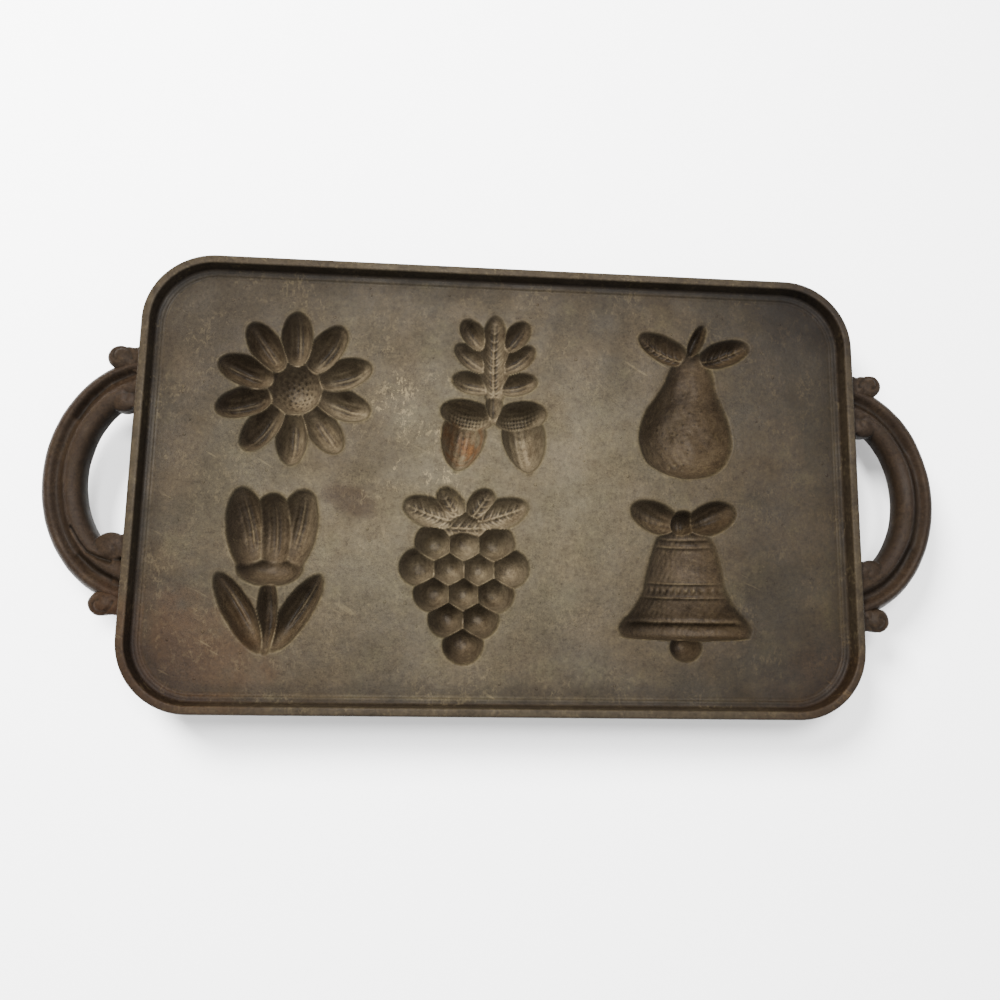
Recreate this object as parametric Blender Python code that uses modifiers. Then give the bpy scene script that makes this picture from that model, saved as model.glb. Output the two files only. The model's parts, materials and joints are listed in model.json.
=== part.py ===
"""Cast iron muffin pan: six relief moulds in a rimmed deck, with a scroll handle at each end.

The pan lies flat on its cup feet. The origin is under its middle on the table, +X runs along its
length, +Y to the back row of moulds and +Z up. All lengths are in metres.
"""
from math import cos, radians, sin

import bpy
from mathutils import Matrix, Vector

MM = 0.001

# Driving dimensions.
PAN_LENGTH = 303.0 * MM         # over the rim, without the handles
PAN_WIDTH = 188.4 * MM          # over the rim
CORNER_RADIUS = 29.3 * MM       # outer corner of the rim, seen from above
TOTAL_HEIGHT = 26.4 * MM        # from the cup feet to the top of the rim
RIM_DEPTH = 6.4 * MM            # from the top of the rim down to the deck
RIM_BAND = 7.4 * MM             # from the outer edge of the rim to the deck plate
SKIRT_HEIGHT = 12.0 * MM        # how far the outer wall of the rim reaches down
DECK_THICKNESS = 4.0 * MM
FLOOR_THICKNESS = 4.0 * MM      # iron under the deepest point of each mould
SINK = 1.5 * MM                 # widest level of every moulded form, above the deck
GAP = 0.3 * MM                  # kept between neighbouring nodes
HANDLE_REACH = 35.6 * MM        # from the side of the rim to the far edge of a handle
HANDLE_HALF_SPAN = 50.5 * MM    # half the widest span of a bow, over its outer band
HANDLE_INSET = 7.2 * MM         # the middle of a bow's ellipse, inside the side of the rim
HANDLE_WIDTH = 17.2 * MM        # across both bands of a bow
HANDLE_THICKNESS = 9.3 * MM
HANDLE_DROP = 1.2 * MM          # top of the handles under the top of the rim
HANDLE_SHIFT = -1.3 * MM        # handles sit this far in front of the middle
KNOB_RADIUS = 4.8 * MM          # rolled end of each scroll
CURL_RADIUS = 4.4 * MM          # rolled end of the inner band, against the rim

# Levels and sizes that follow from them.
RIM_TOP = TOTAL_HEIGHT
DECK_TOP = RIM_TOP - RIM_DEPTH
DECK_UNDERSIDE = DECK_TOP - DECK_THICKNESS
MOULD_DEPTH = DECK_TOP - FLOOR_THICKNESS
HANDLE_TOP = RIM_TOP - HANDLE_DROP
RIM_SIDE = PAN_LENGTH / 2

# The table of moulds is drawn in millimetres for a pan of this length and width.
DRAWN_LENGTH = 303.0
DRAWN_WIDTH = 188.4
MOULD_UNIT = min(PAN_LENGTH / DRAWN_LENGTH, PAN_WIDTH / DRAWN_WIDTH)


def clear_scene():
    for old in list(bpy.data.objects):
        bpy.data.objects.remove(old, do_unlink=True)


def new_collection(name, hidden=False):
    group = bpy.data.collections.new(name)
    bpy.context.scene.collection.children.link(group)
    group.hide_render = hidden
    return group


def iron(name, colour, roughness, metallic):
    """A seasoned iron finish with its own colour, as one Principled material."""
    material = bpy.data.materials.new(name)
    material.use_nodes = True
    shader = material.node_tree.nodes["Principled BSDF"]
    shader.inputs["Base Color"].default_value = (*colour, 1.0)
    shader.inputs["Roughness"].default_value = roughness
    shader.inputs["Metallic"].default_value = metallic
    material.diffuse_color = (*colour, 1.0)
    return material


def place(obj, group):
    """Moves an object from wherever it was made into one collection."""
    for other in list(obj.users_collection):
        other.objects.unlink(obj)
    group.objects.link(obj)
    return obj


def as_cutter(obj, name):
    obj.name = name
    obj.hide_render = True
    obj.display_type = "WIRE"
    return place(obj, CUTTERS)


def baked(obj):
    """The object's shape with its modifiers or bevel applied, as a plain mesh in place of it."""
    graph = bpy.context.evaluated_depsgraph_get()
    mesh = bpy.data.meshes.new_from_object(obj.evaluated_get(graph))
    mesh.transform(obj.matrix_world)
    solid = bpy.data.objects.new(obj.name, mesh)
    CUTTERS.objects.link(solid)
    name = obj.name
    bpy.data.objects.remove(obj, do_unlink=True)
    return as_cutter(solid, name)


def welded(obj):
    """Joins the points that a curve leaves doubled where its caps meet its sides."""
    bpy.context.view_layer.objects.active = obj
    bpy.ops.object.select_all(action="DESELECT")
    obj.select_set(True)
    bpy.ops.object.mode_set(mode="EDIT")
    bpy.ops.mesh.select_all(action="SELECT")
    bpy.ops.mesh.remove_doubles(threshold=0.000002)
    bpy.ops.mesh.normals_make_consistent(inside=False)
    bpy.ops.object.mode_set(mode="OBJECT")
    return obj


def boolean(obj, operation, other, solver="EXACT"):
    """Adds one Boolean. The relief forms meet in many near-tangent creases, where the exact
    solver leaves open edges, so what they cut uses the manifold solver."""
    modifier = obj.modifiers.new(operation.lower() + "_" + other.name, "BOOLEAN")
    modifier.operation = operation
    modifier.solver = solver
    modifier.object = other


def united(name, shapes, solver="EXACT"):
    """One closed cutter made of overlapping shapes."""
    first = shapes[0]
    for other in shapes[1:]:
        boolean(first, "UNION", other, solver)
    bpy.context.view_layer.update()
    solid = baked(first)
    for other in shapes[1:]:
        bpy.data.objects.remove(other, do_unlink=True)
    solid.name = name
    return solid


def finished(obj, name, material):
    """Turns a cutter-side solid into a visible sub-part with its own material."""
    obj.name = name
    obj.data.name = name
    obj.hide_render = False
    obj.display_type = "TEXTURED"
    obj.data.materials.clear()
    obj.data.materials.append(material)
    obj.data.shade_smooth()
    obj.data.set_sharp_from_angle(angle=radians(32))
    place(obj, PAN)
    obj.parent = PAN_ROOT
    return obj


def box(name, low, high):
    """A block between two corners."""
    low, high = Vector(low), Vector(high)
    bpy.ops.mesh.primitive_cube_add(size=1, location=(low + high) / 2)
    cube = bpy.context.object
    cube.scale = high - low
    bpy.ops.object.transform_apply(location=False, rotation=False, scale=True)
    return as_cutter(cube, name)


def rounded_rectangle(half_length, half_width, radius, steps=7):
    """Points of a rounded rectangle, anticlockwise from the right side of its front."""
    points = []
    for turn, sx, sy in ((-90, 1, -1), (0, 1, 1), (90, -1, 1), (180, -1, -1)):
        centre_x = sx * (half_length - radius)
        centre_y = sy * (half_width - radius)
        for step in range(steps + 1):
            angle = radians(turn + 90 * step / steps)
            points.append((centre_x + radius * cos(angle), centre_y + radius * sin(angle)))
    return points


def poly_curve(name, points, cyclic):
    """A curve of straight pieces through (x, y) or (x, y, z) points."""
    curve = bpy.data.curves.new(name, "CURVE")
    curve.dimensions = "3D"
    spline = curve.splines.new("POLY")
    spline.points.add(len(points) - 1)
    for slot, point in zip(spline.points, points):
        slot.co = (*point, 1.0) if len(point) == 3 else (*point, 0.0, 1.0)
    spline.use_cyclic_u = cyclic
    obj = bpy.data.objects.new(name, curve)
    return as_cutter(obj, name)


def swept(name, path, profile, level, cyclic):
    """A closed profile, given as (outward, up) points, run along a flat path at one height."""
    shape = poly_curve(name + "_profile", profile, cyclic=True)
    guide = poly_curve(name, [(x, y, level) for x, y in path], cyclic)
    guide.data.twist_mode = "Z_UP"
    guide.data.bevel_mode = "OBJECT"
    guide.data.bevel_object = shape
    guide.data.use_fill_caps = not cyclic
    bpy.context.view_layer.update()
    solid = welded(baked(guide))
    bpy.data.objects.remove(shape, do_unlink=True)
    return solid


def flat_plate(name, outline, low, high):
    """A flat outline filled and given its thickness."""
    curve = poly_curve(name, outline, cyclic=True)
    curve.data.dimensions = "2D"
    curve.data.fill_mode = "BOTH"
    curve.data.extrude = (high - low) / 2
    curve.location.z = (low + high) / 2
    bpy.context.view_layer.update()
    return welded(baked(curve))


def lobe(x, y, half_length, half_width, depth, turn=0.0, segments=16, rings=8):
    """A flattened ball whose lower half sinks into the deck. Sizes in mould units."""
    bpy.ops.mesh.primitive_uv_sphere_add(segments=segments, ring_count=rings, radius=1)
    ball = bpy.context.object
    ball.location = (x * MOULD_UNIT, y * MOULD_UNIT, DECK_TOP + SINK)
    ball.rotation_euler.z = radians(turn)
    ball.scale = (half_length * MOULD_UNIT, half_width * MOULD_UNIT,
                  depth * MOULD_DEPTH + SINK)
    return as_cutter(ball, "lobe")


def smooth_through(keys, steps):
    """More points on a smooth line through the given (along, radius) points."""
    points = []
    for i in range(len(keys) - 1):
        before = Vector(keys[max(i - 1, 0)])
        start, end = Vector(keys[i]), Vector(keys[i + 1])
        after = Vector(keys[min(i + 2, len(keys) - 1)])
        for step in range(steps):
            t = step / steps
            curve = (2 * start + (end - before) * t
                     + (2 * before - 5 * start + 4 * end - after) * t * t
                     + (3 * start - before - 3 * end + after) * t ** 3) / 2
            points.append((curve.x, max(curve.y, 0.0)))
    points.append(tuple(keys[-1]))
    return points


def screwed(name, outline, segments):
    """A solid turned round +Z from an outline of (radius, height) points, highest first."""
    mesh = bpy.data.meshes.new(name)
    mesh.from_pydata([(radius, 0, height) for radius, height in outline],
                     [(i, i + 1) for i in range(len(outline) - 1)], [])
    form = as_cutter(bpy.data.objects.new(name, mesh), name)
    screw = form.modifiers.new("turn", "SCREW")
    screw.steps = segments
    screw.render_steps = segments
    screw.use_merge_vertices = True
    screw.merge_threshold = 0.00001
    screw.use_smooth_shade = True
    return form


def turned(x, y, turn, keys, depth, segments=18, steps=2):
    """A turned form lying on its side in the deck, squashed to the given depth.

    The keys are (along, radius) in mould units from one end to the other, highest first.
    """
    points = [(radius * MOULD_UNIT, along * MOULD_UNIT)
              for along, radius in smooth_through(keys, steps)]
    form = screwed("turned", points, segments)
    along = Vector((cos(radians(turn)), sin(radians(turn)), 0))
    down = Vector((0, 0, 1))
    side = along.cross(down)
    form.rotation_euler = Matrix((down, side, along)).transposed().to_euler()
    form.location = (x * MOULD_UNIT, y * MOULD_UNIT, DECK_TOP + SINK)
    form.scale.x = (depth * MOULD_DEPTH + SINK) / max(radius for radius, _ in points)
    bpy.context.view_layer.update()
    return welded(baked(form))


def daisy():
    """Ten petals round a domed eye."""
    petals = [lobe(21 * cos(radians(a)), 21 * sin(radians(a)), 12.6, 6.4, 0.72, a)
              for a in range(90, 450, 36)]
    return petals + [lobe(0, 0, 12.0, 12.0, 0.98, segments=20)]


def oak_twig():
    """A lobed oak leaf over two hanging acorns."""
    forms = [lobe(0, 15, 20.5, 6.6, 0.62, 90)]
    for side in (-1, 1):
        for y, reach, lift in ((26.5, 8.0, 52), (16.0, 9.6, 34), (5.0, 9.4, 12)):
            turn = lift if side > 0 else 180 - lift
            forms.append(lobe(side * 9.2, y, reach, 4.8, 0.52, turn, segments=14))
        lean = radians(90 + side * 10)
        nut = ((11, 0), (10, 5.5), (4, 9.0), (-4, 8.4), (-11, 5.0), (-14, 1.6), (-15.5, 0))
        forms.append(turned(side * 13, -18.8, 90 + side * 10, nut, 0.98))
        forms.append(lobe(side * 13 + 10 * cos(lean), -18.8 + 10 * sin(lean), 11.6, 6.4, 0.94,
                          side * 10))
    forms.append(lobe(0, -4.5, 8.5, 3.4, 0.5, 90, segments=12))
    return forms


def pear():
    """A pear with its stalk and two leaves."""
    body = ((24, 0), (22.5, 5.0), (16, 9.0), (6, 12.2), (-6, 18.4), (-17, 20.6),
            (-27, 16.5), (-31.5, 8.0), (-33, 0))
    return [turned(0, 0, 84, body, 0.98, segments=24),
            lobe(4.2, 28.5, 8.0, 2.8, 0.46, 66, segments=12),
            lobe(-9.8, 24.2, 13.0, 5.8, 0.5, 154),
            lobe(16.0, 23.2, 12.4, 5.6, 0.5, 20)]


def tulip():
    """A tulip head on a stem between two long leaves."""
    return [lobe(-9.4, 15.0, 19.0, 8.6, 0.78, 102), lobe(9.4, 15.0, 19.0, 8.6, 0.78, 78),
            lobe(0, 13.5, 18.0, 9.6, 0.98, 90, segments=18),
            lobe(0, 0.5, 13.5, 7.4, 0.86),
            lobe(0, -18, 16.5, 3.9, 0.6, 90),
            lobe(-11.2, -17.5, 18.5, 5.8, 0.64, 122), lobe(11.2, -17.5, 18.5, 5.8, 0.64, 58)]


def grapes():
    """A bunch of grapes in rows of three, four, three, two and one, under leaves."""
    forms = []
    for row, count in enumerate((3, 4, 3, 2, 1)):
        for i in range(count):
            x = (i - (count - 1) / 2) * 12.4
            edge = row == 4 or abs(x) > 18
            forms.append(lobe(x, 13.5 - 10.4 * row, 8.3, 8.0, 0.8 if edge else 0.96, segments=14))
    for side in (-1, 1):
        lift = 18 if side > 0 else 162
        forms.append(lobe(side * 13.5, 25.5, 13.5, 6.6, 0.54, lift))
        forms.append(lobe(side * 6.2, 29.5, 8.0, 5.4, 0.5, 90 - side * 34))
    forms.append(lobe(0, 20.5, 11.5, 6.6, 0.62))
    return forms


def bell():
    """A hand bell with a flared lip, its clapper and a tied ribbon."""
    body = ((22.5, 0), (21.5, 6.0), (17.5, 11.6), (8, 15.4), (-4, 18.0), (-12, 22.2),
            (-18, 27.6), (-21.5, 28.4), (-24, 24.0), (-25, 0))
    forms = [turned(0, 0, 90, body, 0.98, segments=24), lobe(0, -27.5, 6.6, 6.0, 0.68)]
    for side in (-1, 1):
        forms.append(lobe(side * 12.0, 26.5, 11.6, 6.6, 0.56, side * 22))
    forms.append(lobe(0, 24.0, 5.6, 6.0, 0.64))
    return forms


# Each mould: its name, the forms it is cut with, the middle of its opening, and the bulges of
# its cup: x, y, half length, half width, turn.
MOULDS = (
    ("mould_back_left", daisy, (-88.8, 39.6), ((0, 0, 36.4, 36.4, 0),)),
    ("mould_back_middle", oak_twig, (-4.5, 39.4),
     ((0, 14, 28.5, 23.0, 0), (0, -16, 31.0, 21.0, 0))),
    ("mould_back_right", pear, (80.0, 38.5), ((-2, -11.5, 26.0, 25.4, 0), (2, 17, 30.0, 21.5, 0))),
    ("mould_front_left", tulip, (-94.9, -36.8),
     ((0, 13, 24.0, 24.0, 0), (0, -16.5, 27.0, 21.5, 0))),
    ("mould_front_middle", grapes, (-15.7, -37.8),
     ((0, 4, 35.0, 25.0, 0), (0, -13, 24.5, 25.0, 0), (0, 24, 31.0, 13.0, 0))),
    ("mould_front_right", bell, (77.0, -38.0),
     ((0, -14.5, 35.0, 22.0, 0), (0, 6, 23.0, 24.5, 0), (0, 23.5, 28.5, 13.4, 0))),
)


def bulge(x, y, half_length, half_width, turn):
    """One swelling of a cup, deep enough to be cut flat by the table."""
    bpy.ops.mesh.primitive_uv_sphere_add(segments=24, ring_count=12, radius=1)
    ball = bpy.context.object
    ball.location = (x * MOULD_UNIT, y * MOULD_UNIT, DECK_UNDERSIDE + SINK)
    ball.rotation_euler.z = radians(turn)
    ball.scale = (half_length * MOULD_UNIT, half_width * MOULD_UNIT,
                  DECK_UNDERSIDE + SINK + 2.2 * MM)
    return as_cutter(ball, "bulge")


def build_moulds(finish):
    """The six cups, and the six forms that also cut the deck."""
    forms = []
    for name, design, middle, bulges in MOULDS:
        shift = Vector((middle[0] * PAN_LENGTH / DRAWN_LENGTH,
                        middle[1] * PAN_WIDTH / DRAWN_WIDTH, 0))
        form = united("form_" + name, design(), "MANIFOLD")
        cup = united(name + "_blank", [bulge(*sizes) for sizes in bulges])
        for solid in (form, cup):
            solid.location += shift
        slab = box("slab", (-0.5, -0.5, 0), (0.5, 0.5, DECK_UNDERSIDE - GAP))
        bpy.context.view_layer.update()
        boolean(cup, "INTERSECT", slab)
        boolean(cup, "DIFFERENCE", form, "MANIFOLD")
        bpy.context.view_layer.update()
        cup = baked(cup)
        bpy.data.objects.remove(slab, do_unlink=True)
        finished(cup, name, finish)
        forms.append(form)
    return forms


def build_deck(forms, finish):
    half_length = PAN_LENGTH / 2 - RIM_BAND - GAP
    half_width = PAN_WIDTH / 2 - RIM_BAND - GAP
    outline = rounded_rectangle(half_length, half_width, CORNER_RADIUS - RIM_BAND - GAP)
    deck = flat_plate("baking_deck", outline, DECK_UNDERSIDE, DECK_TOP)
    for form in forms:
        boolean(deck, "DIFFERENCE", form, "MANIFOLD")
    bpy.context.view_layer.update()
    return finished(baked(deck), "baking_deck", finish)


def rim_profile():
    """Section of the rim as (inwards, up) from its outer top edge, in mm."""
    drop = RIM_DEPTH / MM
    band = RIM_BAND / MM
    skirt = SKIRT_HEIGHT / MM
    under = drop + DECK_THICKNESS / MM
    return [(1.3, -skirt), (0.0, -1.5), (0.35, -0.45), (1.2, 0.0), (2.5, 0.0), (3.2, -0.35),
            (3.6, -1.2), (4.3, -drop + 1.5), (4.9, -drop + 0.8), (5.6, -drop + 0.6),
            (band - 0.8, -drop + 0.6), (band - 0.2, -drop + 0.35), (band, -drop),
            (band, -under), (4.3, -under - 0.2), (3.9, -skirt)]


def build_rim(finish):
    path = rounded_rectangle(PAN_LENGTH / 2, PAN_WIDTH / 2, CORNER_RADIUS, steps=9)
    profile = [(-inward * MM, up * MM) for inward, up in rim_profile()]
    rim = swept("rim", path, profile, RIM_TOP, cyclic=True)
    return finished(rim, "rim", finish)


def bow_profile(grow=0.0):
    """Section of a bow as (outward, up) from the middle of its top: two bands and a groove."""
    across = HANDLE_WIDTH / 17.2
    down = HANDLE_THICKNESS / 9.3
    points = [(-8.6, -7.4), (-8.0, -4.2), (-7.0, -1.9), (-5.8, -0.6), (-4.2, -0.05),
              (-2.4, -0.1), (-0.8, -0.8), (0.6, -2.0), (2.0, -2.7), (3.2, -2.4), (4.4, -1.4),
              (5.8, -0.9), (7.0, -1.3), (7.9, -2.6), (8.6, -6.0), (8.1, -8.2), (6.6, -9.3),
              (-6.6, -9.3), (-8.1, -8.8)]
    middle = -HANDLE_THICKNESS / 2
    wider = 1 + grow / (HANDLE_WIDTH / 2)
    thicker = 1 + grow / (HANDLE_THICKNESS / 2)
    return [(x * across * wider, middle + (z * down - middle) * thicker) for x, z in points]


def bow_path(side, steps=22):
    """Middle line of a bow: part of an ellipse whose middle lies inside the rim."""
    reach = HANDLE_REACH + HANDLE_INSET - HANDLE_WIDTH / 2
    span = HANDLE_HALF_SPAN - HANDLE_WIDTH * 0.44
    middle = RIM_SIDE - HANDLE_INSET
    points = []
    for step in range(steps + 1):
        angle = radians(-86 + 172 * step / steps)
        points.append((side * (middle + reach * cos(angle)), HANDLE_SHIFT + span * sin(angle)))
    return points if side > 0 else points[::-1]


def dome(name, x, y, radius, low, high, steps=4):
    """An upright boss with a domed top."""
    crown = radius * 0.42
    outline = []
    for step in range(steps + 1):
        angle = radians(90 * step / steps)
        outline.append((radius * sin(angle), high - crown + crown * cos(angle)))
    outline += [(radius, low), (0, low)]
    boss = screwed(name, outline, segments=20)
    boss.location = (x, y, 0)
    bpy.context.view_layer.update()
    return welded(baked(boss))


def build_handle(side, label, finish, scroll_finish):
    """One bow and the two scroll ends beside it. Side is -1 for left and 1 for right."""
    face = RIM_SIDE + GAP
    low = HANDLE_TOP - HANDLE_THICKNESS
    name = "handle_" + label
    near, far = sorted((side * face, -side * 0.3))
    wall = box("wall", (near, -0.3, -0.1), (far, 0.3, 0.1))
    bow = swept(name + "_bow", bow_path(side), bow_profile(), HANDLE_TOP, cyclic=False)
    curl_x = RIM_SIDE + CURL_RADIUS + 2.2 * MM
    curl_y = HANDLE_HALF_SPAN - HANDLE_WIDTH - CURL_RADIUS / 3
    shapes = [bow]
    for row in (-1, 1):
        shapes.append(dome("curl", side * curl_x, HANDLE_SHIFT + row * curl_y,
                           CURL_RADIUS, low + 1.5 * MM, HANDLE_TOP + 0.3 * MM))
    bow = united(name + "_bow", shapes)
    boolean(bow, "DIFFERENCE", wall)
    bpy.context.view_layer.update()
    bow = baked(bow)
    swollen = swept("swollen", bow_path(side), bow_profile(GAP), HANDLE_TOP, cyclic=False)
    for row, end in ((-1, "front"), (1, "back")):
        knob_x = RIM_SIDE + 1.9 * KNOB_RADIUS
        knob_y = HANDLE_SHIFT + row * (HANDLE_HALF_SPAN + 0.8 * MM)
        shapes = [dome("knob", side * knob_x, knob_y, KNOB_RADIUS, low + 1.0 * MM,
                       HANDLE_TOP - 0.4 * MM)]
        near = HANDLE_SHIFT + row * (HANDLE_HALF_SPAN - 3.6 * MM)
        far = knob_y + row * (KNOB_RADIUS - 0.9 * MM)
        start, stop = sorted((side * (RIM_SIDE - 1 * MM), side * knob_x))
        shapes.append(box("root", (start, min(near, far), low + 1.4 * MM),
                          (stop, max(near, far), HANDLE_TOP - 1.6 * MM)))
        scroll = united(name + "_" + end + "_scroll", shapes)
        boolean(scroll, "DIFFERENCE", wall)
        boolean(scroll, "DIFFERENCE", swollen, "MANIFOLD")
        bpy.context.view_layer.update()
        finished(baked(scroll), name + "_" + end + "_scroll", scroll_finish)
    bpy.data.objects.remove(wall, do_unlink=True)
    bpy.data.objects.remove(swollen, do_unlink=True)
    return finished(bow, name + "_bow", finish)


clear_scene()
PAN = new_collection("cast_iron_muffin_pan")
CUTTERS = new_collection("cutters", hidden=True)
PAN_ROOT = bpy.data.objects.new("muffin_pan", None)
PAN.objects.link(PAN_ROOT)

deck_iron = iron("deck_iron", (0.155, 0.128, 0.098), 0.62, 0.35)
mould_iron = iron("mould_iron", (0.072, 0.054, 0.042), 0.58, 0.35)
rim_iron = iron("rim_iron", (0.125, 0.104, 0.078), 0.60, 0.35)
handle_iron = iron("handle_iron", (0.078, 0.060, 0.047), 0.60, 0.35)
scroll_iron = iron("scroll_iron", (0.085, 0.066, 0.052), 0.60, 0.35)

mould_forms = build_moulds(mould_iron)
build_deck(mould_forms, deck_iron)
build_rim(rim_iron)
build_handle(-1, "left", handle_iron, scroll_iron)
build_handle(1, "right", handle_iron, scroll_iron)
bpy.context.view_layer.update()
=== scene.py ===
# %% [markdown]
# # A cast iron muffin pan
#
# The pan is one sand casting: a rim, a deck, six relief moulds sunk into it and two scroll
# handles. The CAD frame gives every main size, so it is loaded first and never changed. What we
# build here is the fine surface: rounded lips, carved relief, blended handles and old iron.

import json
from math import cos, pi, radians, sin

import bmesh
import bpy
import numpy as np
from mathutils import Matrix, Vector
from mathutils.geometry import delaunay_2d_cdt

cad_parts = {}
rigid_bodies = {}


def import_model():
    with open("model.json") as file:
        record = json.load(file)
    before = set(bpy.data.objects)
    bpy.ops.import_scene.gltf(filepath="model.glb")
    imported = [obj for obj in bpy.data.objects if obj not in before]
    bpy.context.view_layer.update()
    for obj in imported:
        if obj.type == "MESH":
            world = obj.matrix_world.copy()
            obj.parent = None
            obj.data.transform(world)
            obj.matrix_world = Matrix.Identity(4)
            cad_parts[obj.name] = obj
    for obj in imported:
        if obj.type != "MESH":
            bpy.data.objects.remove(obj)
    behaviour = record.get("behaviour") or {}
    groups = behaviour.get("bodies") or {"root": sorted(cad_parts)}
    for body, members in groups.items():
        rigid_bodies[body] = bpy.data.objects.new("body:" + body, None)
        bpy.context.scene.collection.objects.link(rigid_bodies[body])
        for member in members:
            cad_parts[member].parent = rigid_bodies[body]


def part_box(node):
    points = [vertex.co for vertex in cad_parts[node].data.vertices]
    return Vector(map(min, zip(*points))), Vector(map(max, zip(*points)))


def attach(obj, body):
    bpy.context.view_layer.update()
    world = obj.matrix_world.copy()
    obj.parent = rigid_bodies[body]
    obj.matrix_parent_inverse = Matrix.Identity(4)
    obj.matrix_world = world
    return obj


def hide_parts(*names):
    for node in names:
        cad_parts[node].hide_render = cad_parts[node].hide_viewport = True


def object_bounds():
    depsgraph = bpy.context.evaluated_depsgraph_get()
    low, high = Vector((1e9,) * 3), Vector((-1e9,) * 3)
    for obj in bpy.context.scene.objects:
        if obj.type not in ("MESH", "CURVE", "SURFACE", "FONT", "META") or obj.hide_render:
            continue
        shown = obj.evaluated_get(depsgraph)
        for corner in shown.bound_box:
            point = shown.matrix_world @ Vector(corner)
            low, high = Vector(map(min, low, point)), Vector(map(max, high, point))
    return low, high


for startup_object in list(bpy.data.objects):
    bpy.data.objects.remove(startup_object)
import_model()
CAD_BOX = [list(corner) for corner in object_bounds()]
MM = 0.001
print("CAD box in metres:", CAD_BOX)

# %% [markdown]
# ## Levels and sizes
#
# All shape work below is in millimetres. The levels come from the boxes of the CAD nodes, so the
# visible surfaces sit where the solids are. Under the deepest moulds 4 mm of iron are left.

# %% Levels and sizes
rim_low, rim_high = [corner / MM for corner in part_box("rim")]
deck_low, deck_high = [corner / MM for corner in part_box("baking_deck")]
HALF_LENGTH, HALF_WIDTH = rim_high.x, rim_high.y
RIM_TOP, SKIRT_FOOT = rim_high.z, rim_low.z
DECK_TOP, DECK_UNDER = deck_high.z, deck_low.z
MID_LEVEL = (DECK_TOP + DECK_UNDER) / 2
CORNER_RADIUS = 29.3
BOTTOM_IRON = 4.0
MOULD_DEPTH = DECK_TOP - BOTTOM_IRON
print("rim", HALF_LENGTH, HALF_WIDTH, RIM_TOP, "deck", DECK_TOP, DECK_UNDER)

# %% [markdown]
# ## Helpers for meshes
#
# Numpy arrays of points and faces become a Blender mesh here, with smooth shading and with one
# number per point for each map that the iron material reads.


# %% Helpers for meshes
def placed(name, data):
    """A new object in the scene."""
    obj = bpy.data.objects.new(name, data)
    bpy.context.scene.collection.objects.link(obj)
    return obj


def give_map(obj, key, values):
    """Keeps one number per point as an attribute."""
    attribute = obj.data.attributes.get(key) or obj.data.attributes.new(key, "FLOAT", "POINT")
    attribute.data.foreach_set("value", np.asarray(values, np.float32))


def mesh_object(name, points, faces, **maps):
    """A mesh object from points in mm. Each map is one number per point."""
    mesh = bpy.data.meshes.new(name)
    mesh.from_pydata((np.asarray(points, float) * MM).tolist(), [], faces)
    mesh.shade_smooth()
    obj = placed(name, mesh)
    for key, values in maps.items():
        give_map(obj, key, values)
    return obj


def vertex_values(obj, key):
    values = np.empty(len(obj.data.vertices) * 3, np.float32)
    obj.data.vertices.foreach_get(key, values)
    return values.reshape(-1, 3).astype(float)


def points_of(obj):
    """The points of a mesh in mm, one in each row."""
    return vertex_values(obj, "co") / MM


def face_outwards(obj):
    """Recalculates the normals of a closed shell, so that all of them point out."""
    shell = bmesh.new()
    shell.from_mesh(obj.data)
    bmesh.ops.recalc_face_normals(shell, faces=shell.faces)
    if shell.calc_volume(signed=True) < 0:
        bmesh.ops.reverse_faces(shell, faces=shell.faces)
    open_edges = sum(1 for edge in shell.edges if not edge.is_manifold)
    shell.to_mesh(obj.data)
    shell.free()
    print(obj.name, len(obj.data.vertices), "points,", open_edges, "open edges")


# %% [markdown]
# ## Soft heights
#
# Poured iron has no sharp edge and no quite flat face. So heights are blended where they meet, a
# height map is blurred a little, and a few sine waves in all directions make faces uneven.


# %% Soft heights
def smooth_max(a, b, k):
    """The larger of two heights, blended over k where they are nearly equal."""
    h = np.clip(0.5 + 0.5 * (a - b) / k, 0, 1)
    return b + (a - b) * h + k * h * (1 - h)


def ease(value):
    """0 below 0, 1 above 1, with a smooth step between."""
    t = np.clip(value, 0, 1)
    return t * t * (3 - 2 * t)


def soften(grid, times):
    """Blurs a height map a little."""
    for _ in range(times):
        wide = np.pad(grid, 1, mode="edge")
        grid = (wide[:-2, 1:-1] + wide[2:, 1:-1] + wide[1:-1, :-2] + wide[1:-1, 2:]) / 8 + grid / 2
    return grid


def rolling(X, Y, size, seed):
    """Soft unevenness between about -1 and 1, with waves of about this size."""
    random = np.random.default_rng(seed)
    total = 0
    for _ in range(9):
        turn, phase = random.uniform(0, 2 * pi, 2)
        wave = random.uniform(0.6, 1.6) * 2 * pi / size
        total = total + np.sin((X * cos(turn) + Y * sin(turn)) * wave + phase)
    return total / 5


def on_spline(before, start, end, after, t):
    """A point between start and end on a smooth line that also heeds their neighbours."""
    return (2 * start + (end - before) * t + (2 * before - 5 * start + 4 * end - after) * t * t
            + (3 * start - before - 3 * end + after) * t ** 3) / 2


print("two equal heights of 1, blended over 0.4:", smooth_max(1.0, 1.0, 0.4))

# %% [markdown]
# ## Forms that the moulds are made of
#
# Each mould is a picture in relief, sunk into the deck. It is drawn from a few simple forms: a
# *lobe* is a flattened oval hollow, and a *turned* form is half of something made on a lathe. For
# every point of the deck a form says how deep the iron is cut there. Outside its outline the
# depth goes on below zero with the same slope, which gives the distance to the lip.

# %% Forms that the moulds are made of
# The power that curves a hollow: a higher one has steeper walls and a flatter bottom.
DRAFT = 2.5
# How fast a turned form closes past its ends.
END_FALL = 12


def on_axes(X, Y, x, y, turn):
    """Places along and across a form, from its middle and its turn in degrees."""
    c, s = cos(radians(turn)), sin(radians(turn))
    return (X - x) * c + (Y - y) * s, (Y - y) * c - (X - x) * s


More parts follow.
